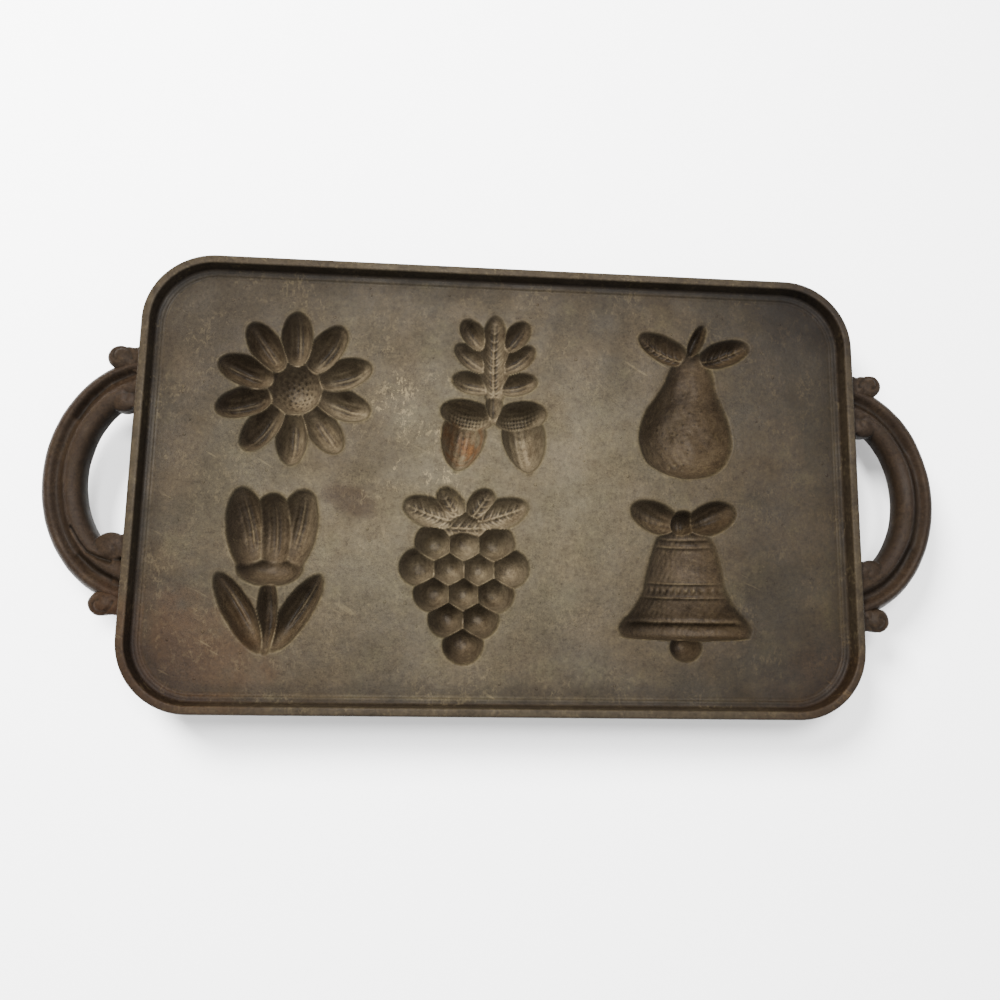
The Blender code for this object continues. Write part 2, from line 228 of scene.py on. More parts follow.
def lobe(x, y, half_length, half_width, depth, turn=0.0, detail=None):
    """A flattened oval hollow. Sizes in mm, depth as a share of the mould's, turn in degrees."""

    def cut(X, Y):
        along, across = on_axes(X, Y, x, y, turn)
        q = np.hypot(along / half_length, across / half_width)
        full = depth * MOULD_DEPTH
        result = np.where(q < 1, full * (1 - q ** DRAFT), full * DRAFT * (1 - q))
        if detail:
            result = result + detail(along, across) * ease((1 - q) / 0.4)
        return result

    return cut


def smooth_through(keys, steps=8):
    """More points on a smooth line through the given (along, radius) points."""
    points = []
    for i in range(len(keys) - 1):
        corners = [Vector(keys[min(max(i + k, 0), len(keys) - 1)]) for k in (-1, 0, 1, 2)]
        for step in range(steps):
            point = on_spline(*corners, step / steps)
            points.append((point.x, max(point.y, 0.0)))
    return np.array(points + [tuple(keys[-1])])


def turned(x, y, turn, keys, depth, detail=None):
    """Half of a turned form lying on its side. Keys are (along, radius), highest first."""
    line = smooth_through(keys)[::-1]
    order = np.argsort(line[:, 0])
    stations, squares = line[order, 0], line[order, 1] ** 2
    widest = np.sqrt(squares.max())

    def cut(X, Y):
        along, across = on_axes(X, Y, x, y, turn)
        square = np.interp(along, stations, squares)
        square = square - END_FALL * np.maximum(along - stations[-1], 0)
        square = square - END_FALL * np.maximum(stations[0] - along, 0)
        radius = np.sqrt(np.maximum(square, (0.3 * widest) ** 2))
        full = depth * MOULD_DEPTH * radius / widest
        outside = (square - across ** 2) / radius ** 2
        inside = full * (1 - np.clip(1 - outside, 0, 1) ** (DRAFT / 2))
        result = np.where(outside > 0, inside, full * DRAFT / 2 * outside)
        if detail:
            result = result + detail(along, across) * ease(outside / 0.45)
        return result

    return cut


print("a full mould is", round(MOULD_DEPTH, 2), "mm deep")

# %% [markdown]
# ## Relief lines
#
# A pattern maker carves veins, folds and seeds with small gouges. What is a groove on the muffin
# is a raised line in the mould, so these details take depth away along a line, or add small pits.


# %% Relief lines
def ridge(distance, width):
    """1 on a line, and less and less away from it."""
    return np.exp(-(distance / width) ** 2)


def line_at(offset, width, height):
    """A raised line along a form, at one offset from its middle."""
    return lambda along, across: -height * ridge(across - offset, width)


stem_lines = line_at(0.9, 0.5, 0.4)


def petal_lines(along, across):
    ribs = sum(line_at(offset, 0.62, height)(along, across)
               for offset, height in ((0, 0.9), (-2.9, 0.45), (2.9, 0.45)))
    return ribs * ease((along + 9) / 8)


def leaf_veins(along, across, spacing=3.4):
    slanted = (along - 0.9 * np.abs(across)) / spacing
    nearest = np.abs(slanted - np.round(slanted)) * spacing
    return line_at(0, 0.7, 1.0)(along, across) - 0.5 * ridge(nearest, 0.5)


def ribbon_folds(along, across):
    spread = across / (1.2 + 0.10 * (along + 12))
    return -0.55 * ridge(np.abs(spread) - 1.2, 0.42) - 0.5 * ridge(spread, 0.4)


# %% Patterns on the fruits and the bell
def cap_scales(along, across):
    return 0.42 * np.cos((along + across) * 2.2) * np.cos((along - across) * 2.2)


def nut_ridges(along, across):
    return 0.22 * np.cos(across * 2.4)


def seed_pits(along, across):
    """Small pits in the spiral order of a daisy's seeds."""
    pits = np.zeros_like(along)
    for i in range(1, 70):
        turn, reach = i * 2.39996, 1.18 * i ** 0.5
        near = (along - reach * cos(turn)) ** 2 + (across - reach * sin(turn)) ** 2
        pits += 0.62 * np.exp(-near / 0.32)
    return pits


def pear_skin(along, across):
    """A few freckles, and the crown of the blossom end."""
    random = np.random.default_rng(5)
    marks = np.zeros_like(along)
    for cx, cy in random.uniform((-26, -16), (14, 16), (46, 2)):
        marks += 0.3 * np.exp(-((along - cx) ** 2 + (across - cy) ** 2) / 0.3)
    from_crown = along + 28.0
    spokes = np.cos(6 * np.arctan2(across, from_crown))
    return marks - 0.8 * ridge(np.hypot(from_crown, across) - 3.2, 1.0) * (0.6 + 0.4 * spokes)


def bell_bands(along, across):
    """Two raised bands on the shoulder, a beaded one on the waist and a ring over the lip."""
    bands = sum(height * ridge(along - place, width)
                for place, width, height in ((17.6, 0.7, 0.8), (14.4, 0.7, 0.8), (-1.0, 0.55, 0.7),
                                             (-7.0, 0.55, 0.7), (-17.2, 1.1, 1.3)))
    beads = ridge(along + 4.0, 1.1) * (0.5 + 0.5 * np.cos(across * 2.0)) * 0.8
    return -bands - beads


# %% [markdown]
# ## The six designs
#
# Plain orchard and garden designs and a bell, drawn to the size and depth of the pan's moulds.


# %% A daisy, an oak twig and a pear
def daisy():
    petals = [lobe(21 * cos(radians(a)), 21 * sin(radians(a)), 12.6, 6.4, 0.72, a, petal_lines)
              for a in range(90, 450, 36)]
    return petals + [lobe(0, 0, 12.0, 12.0, 0.98, 0, seed_pits)]


def oak_twig():
    forms = [lobe(0, 15, 20.5, 6.6, 0.62, 90, leaf_veins)]
    nut = ((11, 0), (10, 5.5), (4, 9.0), (-4, 8.4), (-11, 5.0), (-14, 1.6), (-15.5, 0))
    for side in (-1, 1):
        for y, reach, lift in ((26.5, 8.0, 52), (16.0, 9.6, 34), (5.0, 9.4, 12)):
            turn = lift if side > 0 else 180 - lift
            forms.append(lobe(side * 9.2, y, reach, 4.8, 0.52, turn, line_at(0, 0.6, 0.7)))
        lean = radians(90 + side * 10)
        forms.append(turned(side * 13, -18.8, 90 + side * 10, nut, 0.98, nut_ridges))
        forms.append(lobe(side * 13 + 10 * cos(lean), -18.8 + 10 * sin(lean), 11.6, 6.4, 0.94,
                          side * 10, cap_scales))
    forms.append(lobe(0, -4.5, 8.5, 3.4, 0.5, 90, stem_lines))
    return forms


def pear():
    body = ((24, 0), (22.5, 5.0), (16, 9.0), (6, 12.2), (-6, 18.4), (-17, 20.6),
            (-27, 16.5), (-31.5, 8.0), (-33, 0))
    return [turned(0, 0, 84, body, 0.98, pear_skin), lobe(4.2, 28.5, 8.0, 2.8, 0.46, 66),
            lobe(-9.8, 24.2, 13.0, 5.8, 0.5, 154, leaf_veins),
            lobe(16.0, 23.2, 12.4, 5.6, 0.5, 20, leaf_veins)]


# %% A tulip, grapes and a bell
def tulip():
    return [lobe(-9.4, 15.0, 19.0, 8.6, 0.78, 102, petal_lines),
            lobe(9.4, 15.0, 19.0, 8.6, 0.78, 78, petal_lines),
            lobe(0, 13.5, 18.0, 9.6, 0.98, 90, petal_lines), lobe(0, 0.5, 13.5, 7.4, 0.86),
            lobe(0, -18, 16.5, 3.9, 0.6, 90, stem_lines),
            lobe(-11.2, -17.5, 18.5, 5.8, 0.64, 122, petal_lines),
            lobe(11.2, -17.5, 18.5, 5.8, 0.64, 58, petal_lines)]


def grapes():
    forms = []
    for row, count in enumerate((3, 4, 3, 2, 1)):
        for i in range(count):
            x = (i - (count - 1) / 2) * 12.4
            edge = row == 4 or abs(x) > 18
            forms.append(lobe(x, 13.5 - 10.4 * row, 8.3, 8.0, 0.8 if edge else 0.96))
    for side in (-1, 1):
        lift = 18 if side > 0 else 162
        forms.append(lobe(side * 13.5, 25.5, 13.5, 6.6, 0.54, lift, leaf_veins))
        forms.append(lobe(side * 6.2, 29.5, 8.0, 5.4, 0.5, 90 - side * 34, leaf_veins))
    forms.append(lobe(0, 20.5, 11.5, 6.6, 0.62, 0, leaf_veins))
    return forms


def bell():
    body = ((22.5, 0), (21.5, 6.0), (17.5, 11.6), (8, 15.4), (-4, 18.0), (-12, 22.2),
            (-18, 27.6), (-21.5, 28.4), (-24, 24.0), (-25, 0))
    forms = [turned(0, 0, 90, body, 0.98, bell_bands), lobe(0, -27.5, 6.6, 6.0, 0.68)]
    for side in (-1, 1):
        turn = 22 if side > 0 else 158
        forms.append(lobe(side * 12.0, 26.5, 11.6, 6.6, 0.56, turn, ribbon_folds))
    forms.append(lobe(0, 24.0, 5.6, 6.0, 0.64, 90, line_at(0, 0.6, 0.5)))
    return forms


# %% [markdown]
# ## Where the moulds lie
#
# For each mould: its node, its design, the middle of its opening, how soft its creases are, and
# the swellings of the cup that holds it on the underside (x, y, half length, half width).

# %% Where the moulds lie
MOULDS = (
    ("mould_back_left", daisy, (-88.8, 39.6), 0.9, ((0, 0, 36.4, 36.4),)),
    ("mould_back_middle", oak_twig, (-4.5, 39.4), 0.8,
     ((0, 14, 28.5, 23.0), (0, -16, 31.0, 21.0))),
    ("mould_back_right", pear, (80.0, 38.5), 1.2,
     ((-2, -11.5, 26.0, 25.4), (2, 17, 30.0, 21.5))),
    ("mould_front_left", tulip, (-94.9, -36.8), 2.2,
     ((0, 12.5, 27.5, 25.5), (0, -16.5, 29.5, 22.5))),
    ("mould_front_middle", grapes, (-15.7, -37.8), 0.8,
     ((0, 4, 35.0, 25.0), (0, -13, 24.5, 25.0), (0, 24, 31.0, 13.0))),
    ("mould_front_right", bell, (77.0, -38.0), 1.0,
     ((0, -14.5, 35.0, 22.0), (0, 6, 23.0, 24.5), (0, 23.5, 28.5, 13.4))),
)
print(len(MOULDS), "moulds")

# %% [markdown]
# ## From depth to a cast surface
#
# The depth map is sampled on a fine raster. Its slope turns depth into distance from the lip, the
# lip is rounded over that distance, and a light blur softens the whole, like real cast iron.

# %% From depth to a cast surface
RASTER = 0.2
MOULD_REACH = 42.0
LIP_RADIUS = 0.7
FLAT_MARGIN = 0.75
UNEVENNESS = 0.25


class Relief:
    """A height map of one mould or cup: how deep the surface lies, and how far the lip is."""

    def __init__(self, cut, radius, softness, seed):
        ticks = np.arange(-MOULD_REACH, MOULD_REACH + RASTER, RASTER)
        X, Y = np.meshgrid(ticks, ticks)
        depth = cut(X, Y) + 0.45 * rolling(X, Y, 13.0, seed + 50)
        rise_y, rise_x = np.gradient(depth, RASTER)
        slope = soften(np.clip(np.hypot(rise_x, rise_y), 1.2, 5.5), 8)
        self.distance = soften(depth / slope, 2)
        surface = smooth_max(depth, 0, radius * slope)
        uneven = rolling(X, Y, 9.0, seed) + 0.45 * rolling(X, Y, 3.4, seed + 70)
        surface += UNEVENNESS * uneven * ease((self.distance - 0.5) / 3)
        self.depth = soften(surface, softness)
        self.depth[self.distance < -radius - FLAT_MARGIN * 0.6] = 0
        self.edge = radius + FLAT_MARGIN
        rows, columns = np.nonzero(self.distance > -self.edge - 0.6)
        self.low = ticks[[columns.min(), rows.min()]]
        self.high = ticks[[columns.max(), rows.max()]]
        # The side it keeps to of a line across it. Far off, as here, the line cuts nothing away.
        self.side, self.divide = 1, -99.0

    def at(self, grid, x, y):
        """The value of one of its maps at any points, between its samples."""
        u = np.clip((x + MOULD_REACH) / RASTER, 0, len(grid) - 1.001)
        v = np.clip((y + MOULD_REACH) / RASTER, 0, len(grid) - 1.001)
        i, j = u.astype(int), v.astype(int)
        fu, fv = u - i, v - j
        return (grid[j, i] * (1 - fu) * (1 - fv) + grid[j, i + 1] * fu * (1 - fv)
                + grid[j + 1, i] * (1 - fu) * fv + grid[j + 1, i + 1] * fu * fv)


def cavity_of(design, crease):
    """A mould: the deepest of its forms everywhere, blended where two of them meet."""
    forms = design()

    def cut(X, Y):
        total = forms[0](X, Y)
        for form in forms[1:]:
            total = smooth_max(total, form(X, Y), crease)
        return np.minimum(total, MOULD_DEPTH * 0.985)

    return cut


def cup_of(bulges):
    """Outside of a cup: swellings that melt into each other, cut flat where it stands."""
    full, draft = DECK_UNDER + 2.0, 3.8

    def cut(X, Y):
        total = None
        for x, y, half_length, half_width in bulges:
            q = np.hypot((X - x) / half_length, (Y - y) / half_width)
            swell = np.where(q < 1, full * (1 - q ** draft), full * draft * (1 - q))
            total = swell if total is None else smooth_max(total, swell, 5.0)
        return -smooth_max(-total, -DECK_UNDER, 1.2)

    return cut


# %% [markdown]
# ## A mesh that follows the walls
#
# A plain grid would be stretched on the steep walls. Its points are pulled towards longer edges
# again and again, so they gather on the walls, and all edges come out about as long in space. The
# border of such a patch is a loop of points, and flat iron between loops is filled with triangles.


# %% A mesh that follows the walls
def relaxed_grid(relief, step, rounds):
    counts = np.maximum(((relief.high - relief.low) / step).astype(int), 4)
    X, Y = np.meshgrid(*[np.linspace(*ends) for ends in zip(relief.low, relief.high, counts)])
    for _ in range(rounds):
        Z = relief.at(relief.depth, X, Y)
        dx = np.hypot(X[:, 1:] - X[:, :-1], Y[:, 1:] - Y[:, :-1]) + 1e-9
        dy = np.hypot(X[1:] - X[:-1], Y[1:] - Y[:-1]) + 1e-9
        wx = np.hypot(1, np.minimum(np.abs(Z[:, 1:] - Z[:, :-1]) / dx, 5))
        wy = np.hypot(1, np.minimum(np.abs(Z[1:] - Z[:-1]) / dy, 5))
        left, right = wx[1:-1, :-1], wx[1:-1, 1:]
        down, up = wy[:-1, 1:-1], wy[1:, 1:-1]
        weight = left + right + down + up
        for A in (X, Y):
            new = (left * A[1:-1, :-2] + right * A[1:-1, 2:] + down * A[:-2, 1:-1]
                   + up * A[2:, 1:-1]) / weight
            A[1:-1, 1:-1] += 0.7 * (new - A[1:-1, 1:-1])
    return X, Y


def inner_faces(relief, X, Y):
    """Faces of the grid within the lip's outer edge, with islands among the forms filled."""
    near = relief.at(relief.distance, X, Y) > -relief.edge
    near &= relief.side * (Y - relief.divide) > 0.15 + X[0, 1] - X[0, 0]
    inside = near[1:, 1:] | near[:-1, 1:] | near[1:, :-1] | near[:-1, :-1]
    reached = np.zeros_like(inside)
    reached[0, :] = reached[-1, :] = reached[:, 0] = reached[:, -1] = True
    reached &= ~inside
    while True:
        grown = reached.copy()
        grown[1:] |= reached[:-1]
        grown[:-1] |= reached[1:]
        grown[:, 1:] |= reached[:, :-1]
        grown[:, :-1] |= reached[:, 1:]
        grown &= ~inside
        if (grown == reached).all():
            break
        reached = grown
    rows, columns = np.nonzero(~reached)
    width = X.shape[1]
    corner = rows * width + columns
    return np.stack([corner, corner + 1, corner + width + 1, corner + width], 1)


# %% A patch and its border
def border_loop(faces):
    """The points round a patch of faces, in order."""
    after, seen = {}, set()
    for face in faces.tolist():
        for a, b in zip(face, face[1:] + face[:1]):
            seen.add((a, b))
    for a, b in seen:
        if (b, a) not in seen:
            after.setdefault(a, []).append(b)
    start = max(after)
    loop, here = [start], after[start][0]
    while here != start:
        loop.append(here)
        here = after[here][0]
    if len(loop) != len(after):
        raise ValueError("the patch has more than one border")
    return np.array(loop)


def patch(relief, step, rounds):
    """A relaxed patch of surface: flat positions, depths, faces and its border loop."""
    X, Y = relaxed_grid(relief, step, rounds)
    faces = inner_faces(relief, X, Y)
    used, flat = np.unique(faces, return_inverse=True)
    faces = flat.reshape(faces.shape)
    place = np.stack([X.ravel()[used], Y.ravel()[used]], 1)
    loop = border_loop(faces)
    for _ in range(4):
        ring = place[loop]
        place[loop] = (ring + (np.roll(ring, 1, 0) + np.roll(ring, -1, 0)) / 2) / 2
    depth = relief.at(relief.depth, place[:, 0], place[:, 1])
    depth[loop] = 0
    return place, depth, faces, loop


# %% Flat iron between loops
def within(points, loop):
    """Whether each point lies inside a closed loop: a ray from it crosses the loop an odd number
    of times."""
    inside = np.zeros(len(points), bool)
    x, y = points[:, 0], points[:, 1]
    for (ax, ay), (bx, by) in zip(loop, np.roll(loop, -1, 0)):
        if ay != by:
            crosses = (y < ay) != (y < by)
            inside ^= crosses & (x < ax + (y - ay) * (bx - ax) / (by - ay))
    return inside


def flat_fill(loops):
    """Triangles of the flat area between closed loops of (x, y) points, facing up."""
    points, edges = [], []
    for loop in loops:
        first = len(points)
        points += [Vector(point) for point in loop]
        edges += [(first + i, first + (i + 1) % len(loop)) for i in range(len(loop))]
    made, _, faces, origin, _, _ = delaunay_2d_cdt(points, edges, [], 0, 1e-7)
    back = np.array([source[0] for source in origin])
    if len(made) != len(points) or len({*back.tolist()}) != len(points):
        raise ValueError("the loops cross each other")
    faces = back[np.array(faces)]
    middles = np.concatenate(loops)[faces].mean(1)
    inside = np.zeros(len(middles), bool)
    for loop in loops:
        inside ^= within(middles, loop)
    return faces[inside]


def ring_wall(upper, lower, flip=False):
    """Quads between two loops of the same length, given as point numbers."""
    quads = np.stack([upper, np.roll(upper, -1), np.roll(lower, -1), lower], 1)
    return quads[:, ::-1] if flip else quads


# %% [markdown]
# ## Mould pieces
#
# Each mould is one closed body. On top is the relief with a narrow ring of deck round its lip, and
# underneath is the cup, which keeps to its own side of the line between the rows. Inside the iron
# the two are joined by a hidden step, where the deck fits.

# %% Mould pieces
# Where the line between the two rows lies.
BETWEEN_ROWS = 2.3
mould_borders = []


def sharpen(obj, degrees):
    """Keeps edges sharper than this angle crisp, such as hidden joints."""
    obj.data.set_sharp_from_angle(angle=radians(degrees))


def build_mould(number, name, design, middle, crease, bulges):
    shift = np.array(middle)
    top_step, under_step = ((0.3, 0.8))
    relief = Relief(cavity_of(design, crease), LIP_RADIUS, 1, number)
    cup = Relief(cup_of(bulges), 1.2, 5, number + 20)
    cup.depth = np.minimum(cup.depth, DECK_UNDER)
    cup.side = 1 if middle[1] > 0 else -1
    cup.divide = BETWEEN_ROWS - middle[1]
    thickness = DECK_TOP - relief.depth - (DECK_UNDER - cup.depth)
    thinnest = thickness[(relief.distance > 0) & (cup.distance > 0)].min()
    top, depth, top_faces, top_loop = patch(relief, top_step, 40)
    under, drop, under_faces, under_loop = patch(cup, under_step, 12)
    first_under = len(top)
    first_step = first_under + len(under)
    upper = first_step + np.arange(len(top_loop))
    lower = upper[-1] + 1 + np.arange(len(under_loop))
    step_faces = flat_fill([under[under_loop], top[top_loop]])
    number_of = np.concatenate([lower, upper])
    points = np.concatenate([
        np.column_stack([top + shift, DECK_TOP - depth]),
        np.column_stack([under + shift, DECK_UNDER - drop]),
        np.column_stack([top[top_loop] + shift, np.full(len(top_loop), MID_LEVEL)]),
        np.column_stack([under[under_loop] + shift, np.full(len(under_loop), MID_LEVEL)])])
    faces = (top_faces.tolist() + (under_faces[:, ::-1] + first_under).tolist()
             + ring_wall(top_loop, upper, flip=True).tolist()
             + ring_wall(under_loop + first_under, lower).tolist()
             + number_of[step_faces].tolist())
    hollow, foot = np.zeros(len(points)), np.zeros(len(points))
    hollow[:first_under] = ease((depth - 0.3) / 3.0)
    foot[first_under:first_step] = ease((drop - DECK_UNDER + 0.9) / 0.8)
    piece = mesh_object(name + "_cast", points, faces, hollow=hollow, foot=foot)
    face_outwards(piece)
    sharpen(piece, 50)
    mould_borders.append((top[top_loop] + shift, under[under_loop] + shift))
    print(name, "thinnest iron", round(float(thinnest), 2), "mm")
    return piece


mould_pieces = [build_mould(i, *mould) for i, mould in enumerate(MOULDS)]

# %% [markdown]
# ## The rim
#
# The rim is a section that follows a rounded rectangle: a rounded skirt, a flat land on top, the
# inner wall, and a low shoulder where it meets the deck. A Geometry Nodes tree sweeps it, with the
# pan's sizes as named inputs.


# %% The rim's section
def rounded(points, radii, steps=6):
    """A closed outline with each corner rounded by its own radius."""
    result = []
    count = len(points)
    for i, radius in enumerate(radii):
        before, here, after = (Vector(points[(i + k) % count]) for k in (-1, 0, 1))
        if radius == 0:
            result.append(tuple(here))
            continue
        to_before, to_after = (before - here).normalized(), (after - here).normalized()
        for step in range(steps + 1):
            t = step / steps
            start, end = here + to_before * radius, here + to_after * radius
            point = start * (1 - t) ** 2 + here * 2 * t * (1 - t) + end * t * t
            result.append(tuple(point))
    return result


# How far inside the rim's outer edge the deck starts, and how far below the rim's top lie the
# deck, its underside and the foot of the skirt.
INNER_FLAT = 8.6
drop = RIM_TOP - DECK_TOP
under = RIM_TOP - DECK_UNDER
skirt = RIM_TOP - SKIRT_FOOT
rim_corners = [(-0.9, -skirt), (0.0, -5.0), (0.0, 0.0), (-3.5, 0.0), (-4.45, -drop + 0.62),
               (-6.75, -drop + 0.6), (-7.4, -drop), (-INNER_FLAT, -drop), (-INNER_FLAT, -under),
               (-5.0, -under), (-4.1, -skirt)]
rim_radii = [0.9, 2.0, 1.2, 0.9, 1.3, 1.0, 0.6, 0, 0, 1.6, 0.9]
rim_section = rounded(rim_corners, rim_radii)
print(len(rim_section), "points in the rim's section")


# %% Helpers for node trees
def plug(tree, node, values):
    """Fills a node's inputs, which are given by name, or as i and a number."""
    for key, value in values.items():
        number = key[1:]
        socket = node.inputs[int(number) if number.isdigit() else key.replace("_", " ")]
        if isinstance(value, bpy.types.NodeSocket):
            tree.links.new(value, socket)
        else:
            socket.default_value = value


class Tree:
    """A Geometry Nodes tree under construction."""

    def __init__(self, name):
        self.group = bpy.data.node_groups.new(name, "GeometryNodeTree")
        for way in ("INPUT", "OUTPUT"):
            self.group.interface.new_socket("Geometry", in_out=way,
                                            socket_type="NodeSocketGeometry")
        self.inputs = self.group.nodes.new("NodeGroupInput")
        self.output = self.group.nodes.new("NodeGroupOutput")
        self.named = {}

    def ask(self, name, kind, default=None):
        """Adds a named input to the tree and returns its socket."""
        socket = self.group.interface.new_socket(name, in_out="INPUT", socket_type=kind)
        if default is not None:
            socket.default_value = default
        self.named[name] = socket.identifier
        return self.inputs.outputs[name]

    def add(self, kind, settings=(), **values):
        """Adds a node and returns its outputs."""
        node = self.group.nodes.new(kind)
        for key, value in dict(settings).items():
            setattr(node, key, value)
        plug(self.group, node, values)
        return node.outputs

    def close(self, source):
        """Ends the tree in Realize Instances and Set Material."""
        real = self.add("GeometryNodeRealizeInstances", i0=source)
        painted = self.add("GeometryNodeSetMaterial", Geometry=real[0],
                           Material=self.ask("Material", "NodeSocketMaterial"))
        plug(self.group, self.output, {"i0": painted[0]})
        return self


# %% A tree that sweeps a section
def outline_object(name, points, cyclic=True):
    """A hidden curve of straight pieces, used as a section or a path."""
    curve = bpy.data.curves.new(name, "CURVE")
    curve.dimensions = "3D"
    spline = curve.splines.new("POLY")
    spline.points.add(len(points) - 1)
    for slot, point in zip(spline.points, points):
        slot.co = (*[value * MM for value in (*point, 0.0)[:3]], 1.0)
    spline.use_cyclic_u = cyclic
    return placed(name, curve)


def swept(tree, line, **settings):
    """Ends a tree that sweeps its section along a line and keeps it upright."""
    section = tree.add("GeometryNodeObjectInfo", Object=tree.ask("Section", "NodeSocketObject"))
    upright = tree.add("GeometryNodeSetCurveNormal", {"mode": "Z_UP"}, Curve=line)
    mesh = tree.add("GeometryNodeCurveToMesh", Curve=upright[0],
                    Profile_Curve=section["Geometry"], **settings)
    return tree.close(mesh[0])


def evaluated(base, name):
    """The result of an object's modifiers as a plain mesh object."""
    graph = bpy.context.evaluated_depsgraph_get()
    mesh = bpy.data.meshes.new_from_object(base.evaluated_get(graph))
    mesh.name = name
    return placed(name, mesh)


def grown(tree, base, name, **values):
    """Runs a tree on an object and returns the result as a plain mesh object."""
    modifier = base.modifiers.new("tree", "NODES")
    modifier.node_group = tree.group
    for key, value in values.items():
        modifier[tree.named[key.replace("_", " ")]] = value
    result = evaluated(base, name)
    base.modifiers.remove(modifier)
    return result


# %% Sweep the rim
def rim_tree():
    tree = Tree("rim_sweep")
    line = tree.add("GeometryNodeCurvePrimitiveQuadrilateral",
                    Width=tree.ask("Length", "NodeSocketFloat", 0.3),
                    Height=tree.ask("Width", "NodeSocketFloat", 0.19))
    corners = tree.add("GeometryNodeFilletCurve", {"mode": "POLY"}, Curve=line[0],
                       Radius=tree.ask("Corner Radius", "NodeSocketFloat", 0.03),
                       Count=tree.ask("Corner Steps", "NodeSocketInt", 24))
    lifted = tree.add("GeometryNodeTransform", Geometry=corners[0],
                      Translation=tree.ask("Level", "NodeSocketVector"))
    return swept(tree, lifted[0])


section_line = outline_object("rim_section", [(x, -z) for x, z in rim_section])
rim_base = outline_object("rim_base", [(0, 0), (1, 0)], cyclic=False)
rim_piece = grown(rim_tree(), rim_base, "rim_cast", Length=2 * HALF_LENGTH * MM,
                  Width=2 * HALF_WIDTH * MM, Corner_Radius=CORNER_RADIUS * MM, Corner_Steps=28,
                  Level=(0, 0, RIM_TOP * MM), Section=section_line)
for helper in (section_line, rim_base):
    bpy.data.objects.remove(helper)
rim_piece.data.shade_smooth()
face_outwards(rim_piece)
sharpen(rim_piece, 40)
inner_edge = int(np.argmin([(x + INNER_FLAT) ** 2 + (z + drop) ** 2 for x, z in rim_section]))
deck_outline = points_of(rim_piece)[inner_edge::len(rim_section)]
print("deck outline:", len(deck_outline), "points at", np.unique(deck_outline[:, 2].round(3)))

# %% [markdown]
# ## The deck
#
# The deck is the flat plate between the rim and the moulds. Its holes take over the borders of the
# mould pieces point by point, so the seams lie in flat iron and can't be seen.


# %% The deck
def build_deck():
    outline = deck_outline[:, :2]
    tops = [border[0] for border in mould_borders]
    unders = [border[1] for border in mould_borders]
    points, numbers = [], {}

    def level(key, loop, z):
        numbers[key] = len(points) + np.arange(len(loop))
        points.extend(np.column_stack([loop, np.full(len(loop), z)]).tolist())

    level("outline_top", outline, DECK_TOP)
    level("outline_under", outline, DECK_UNDER)
    for i, (top, under_loop) in enumerate(mould_borders):
        level(("top", i), top, DECK_TOP)
        level(("top_step", i), top, MID_LEVEL)
        level(("under_step", i), under_loop, MID_LEVEL)
        level(("under", i), under_loop, DECK_UNDER)
    count = range(len(mould_borders))
    faces = []
    for loops, keys in (
            ([outline] + tops, ["outline_top"] + [("top", i) for i in count]),
            ([outline] + unders, ["outline_under"] + [("under", i) for i in count])):
        number_of = np.concatenate([numbers[key] for key in keys])
        faces += number_of[flat_fill(loops)].tolist()
    for i in count:
        number_of = np.concatenate([numbers[("top_step", i)], numbers[("under_step", i)]])
        faces += number_of[flat_fill([tops[i], unders[i]])].tolist()
        faces += ring_wall(numbers[("top", i)], numbers[("top_step", i)]).tolist()
        faces += ring_wall(numbers[("under_step", i)], numbers[("under", i)]).tolist()
    faces += ring_wall(numbers["outline_top"], numbers["outline_under"]).tolist()
    piece = mesh_object("baking_deck_cast", points, faces)
    face_outwards(piece)
    sharpen(piece, 30)
    return piece


deck_piece = build_deck()

# %% [markdown]
# ## Sand marks
#
# Sand castings carry small round pimples where the mould lost a grain. A tree scatters flat domes
# over the deck, each stretched and sized by chance from a fixed seed.


# %% Scatter pimples on the deck
def pimple_tree():
    tree = Tree("pimples")
    normal = tree.add("GeometryNodeInputNormal")
    axes = tree.add("ShaderNodeSeparateXYZ", i0=normal[0])
    upward = tree.add("FunctionNodeCompare", i0=axes["Z"], i1=0.99)
    scatter = tree.add("GeometryNodeDistributePointsOnFaces", Seed=11, Selection=upward[0],
                       Mesh=tree.inputs.outputs["Geometry"],
                       Density=tree.ask("Density", "NodeSocketFloat", 4000.0))
    dome = tree.add("GeometryNodeMeshIcoSphere", Radius=0.5, Subdivisions=2)
    size = tree.add("FunctionNodeRandomValue", Seed=5,
                    i2=tree.ask("Smallest", "NodeSocketFloat", 0.0003),
                    i3=tree.ask("Largest", "NodeSocketFloat", 0.0009))
    flat = tree.add("FunctionNodeRandomValue", {"data_type": "FLOAT_VECTOR"},
                    i0=(0.8, 0.8, 0.18), i1=(1.2, 1.2, 0.34))
    scale = tree.add("ShaderNodeVectorMath", {"operation": "SCALE"}, i0=flat[0], Scale=size[1])
    domes = tree.add("GeometryNodeInstanceOnPoints", Points=scatter["Points"],
                     Instance=dome["Mesh"], Scale=scale[0])
    return tree.close(domes[0])


pimples = grown(pimple_tree(), deck_piece, "deck_pimples", Density=5000.0, Smallest=0.0004,
                Largest=0.0013)
pimples.data.shade_smooth()
print(len(pimples.data.polygons) // 80, "pimples")

# %% [markdown]
# ## The handles
#
# Each handle is an open bow with two raised bands and a groove between them. The inner band rolls
# up against the rim, and the outer band flips out to a small scroll. The bow is swept by a tree,
# the rolled ends are turned, and a fine voxel remesh melts them together as in a casting.

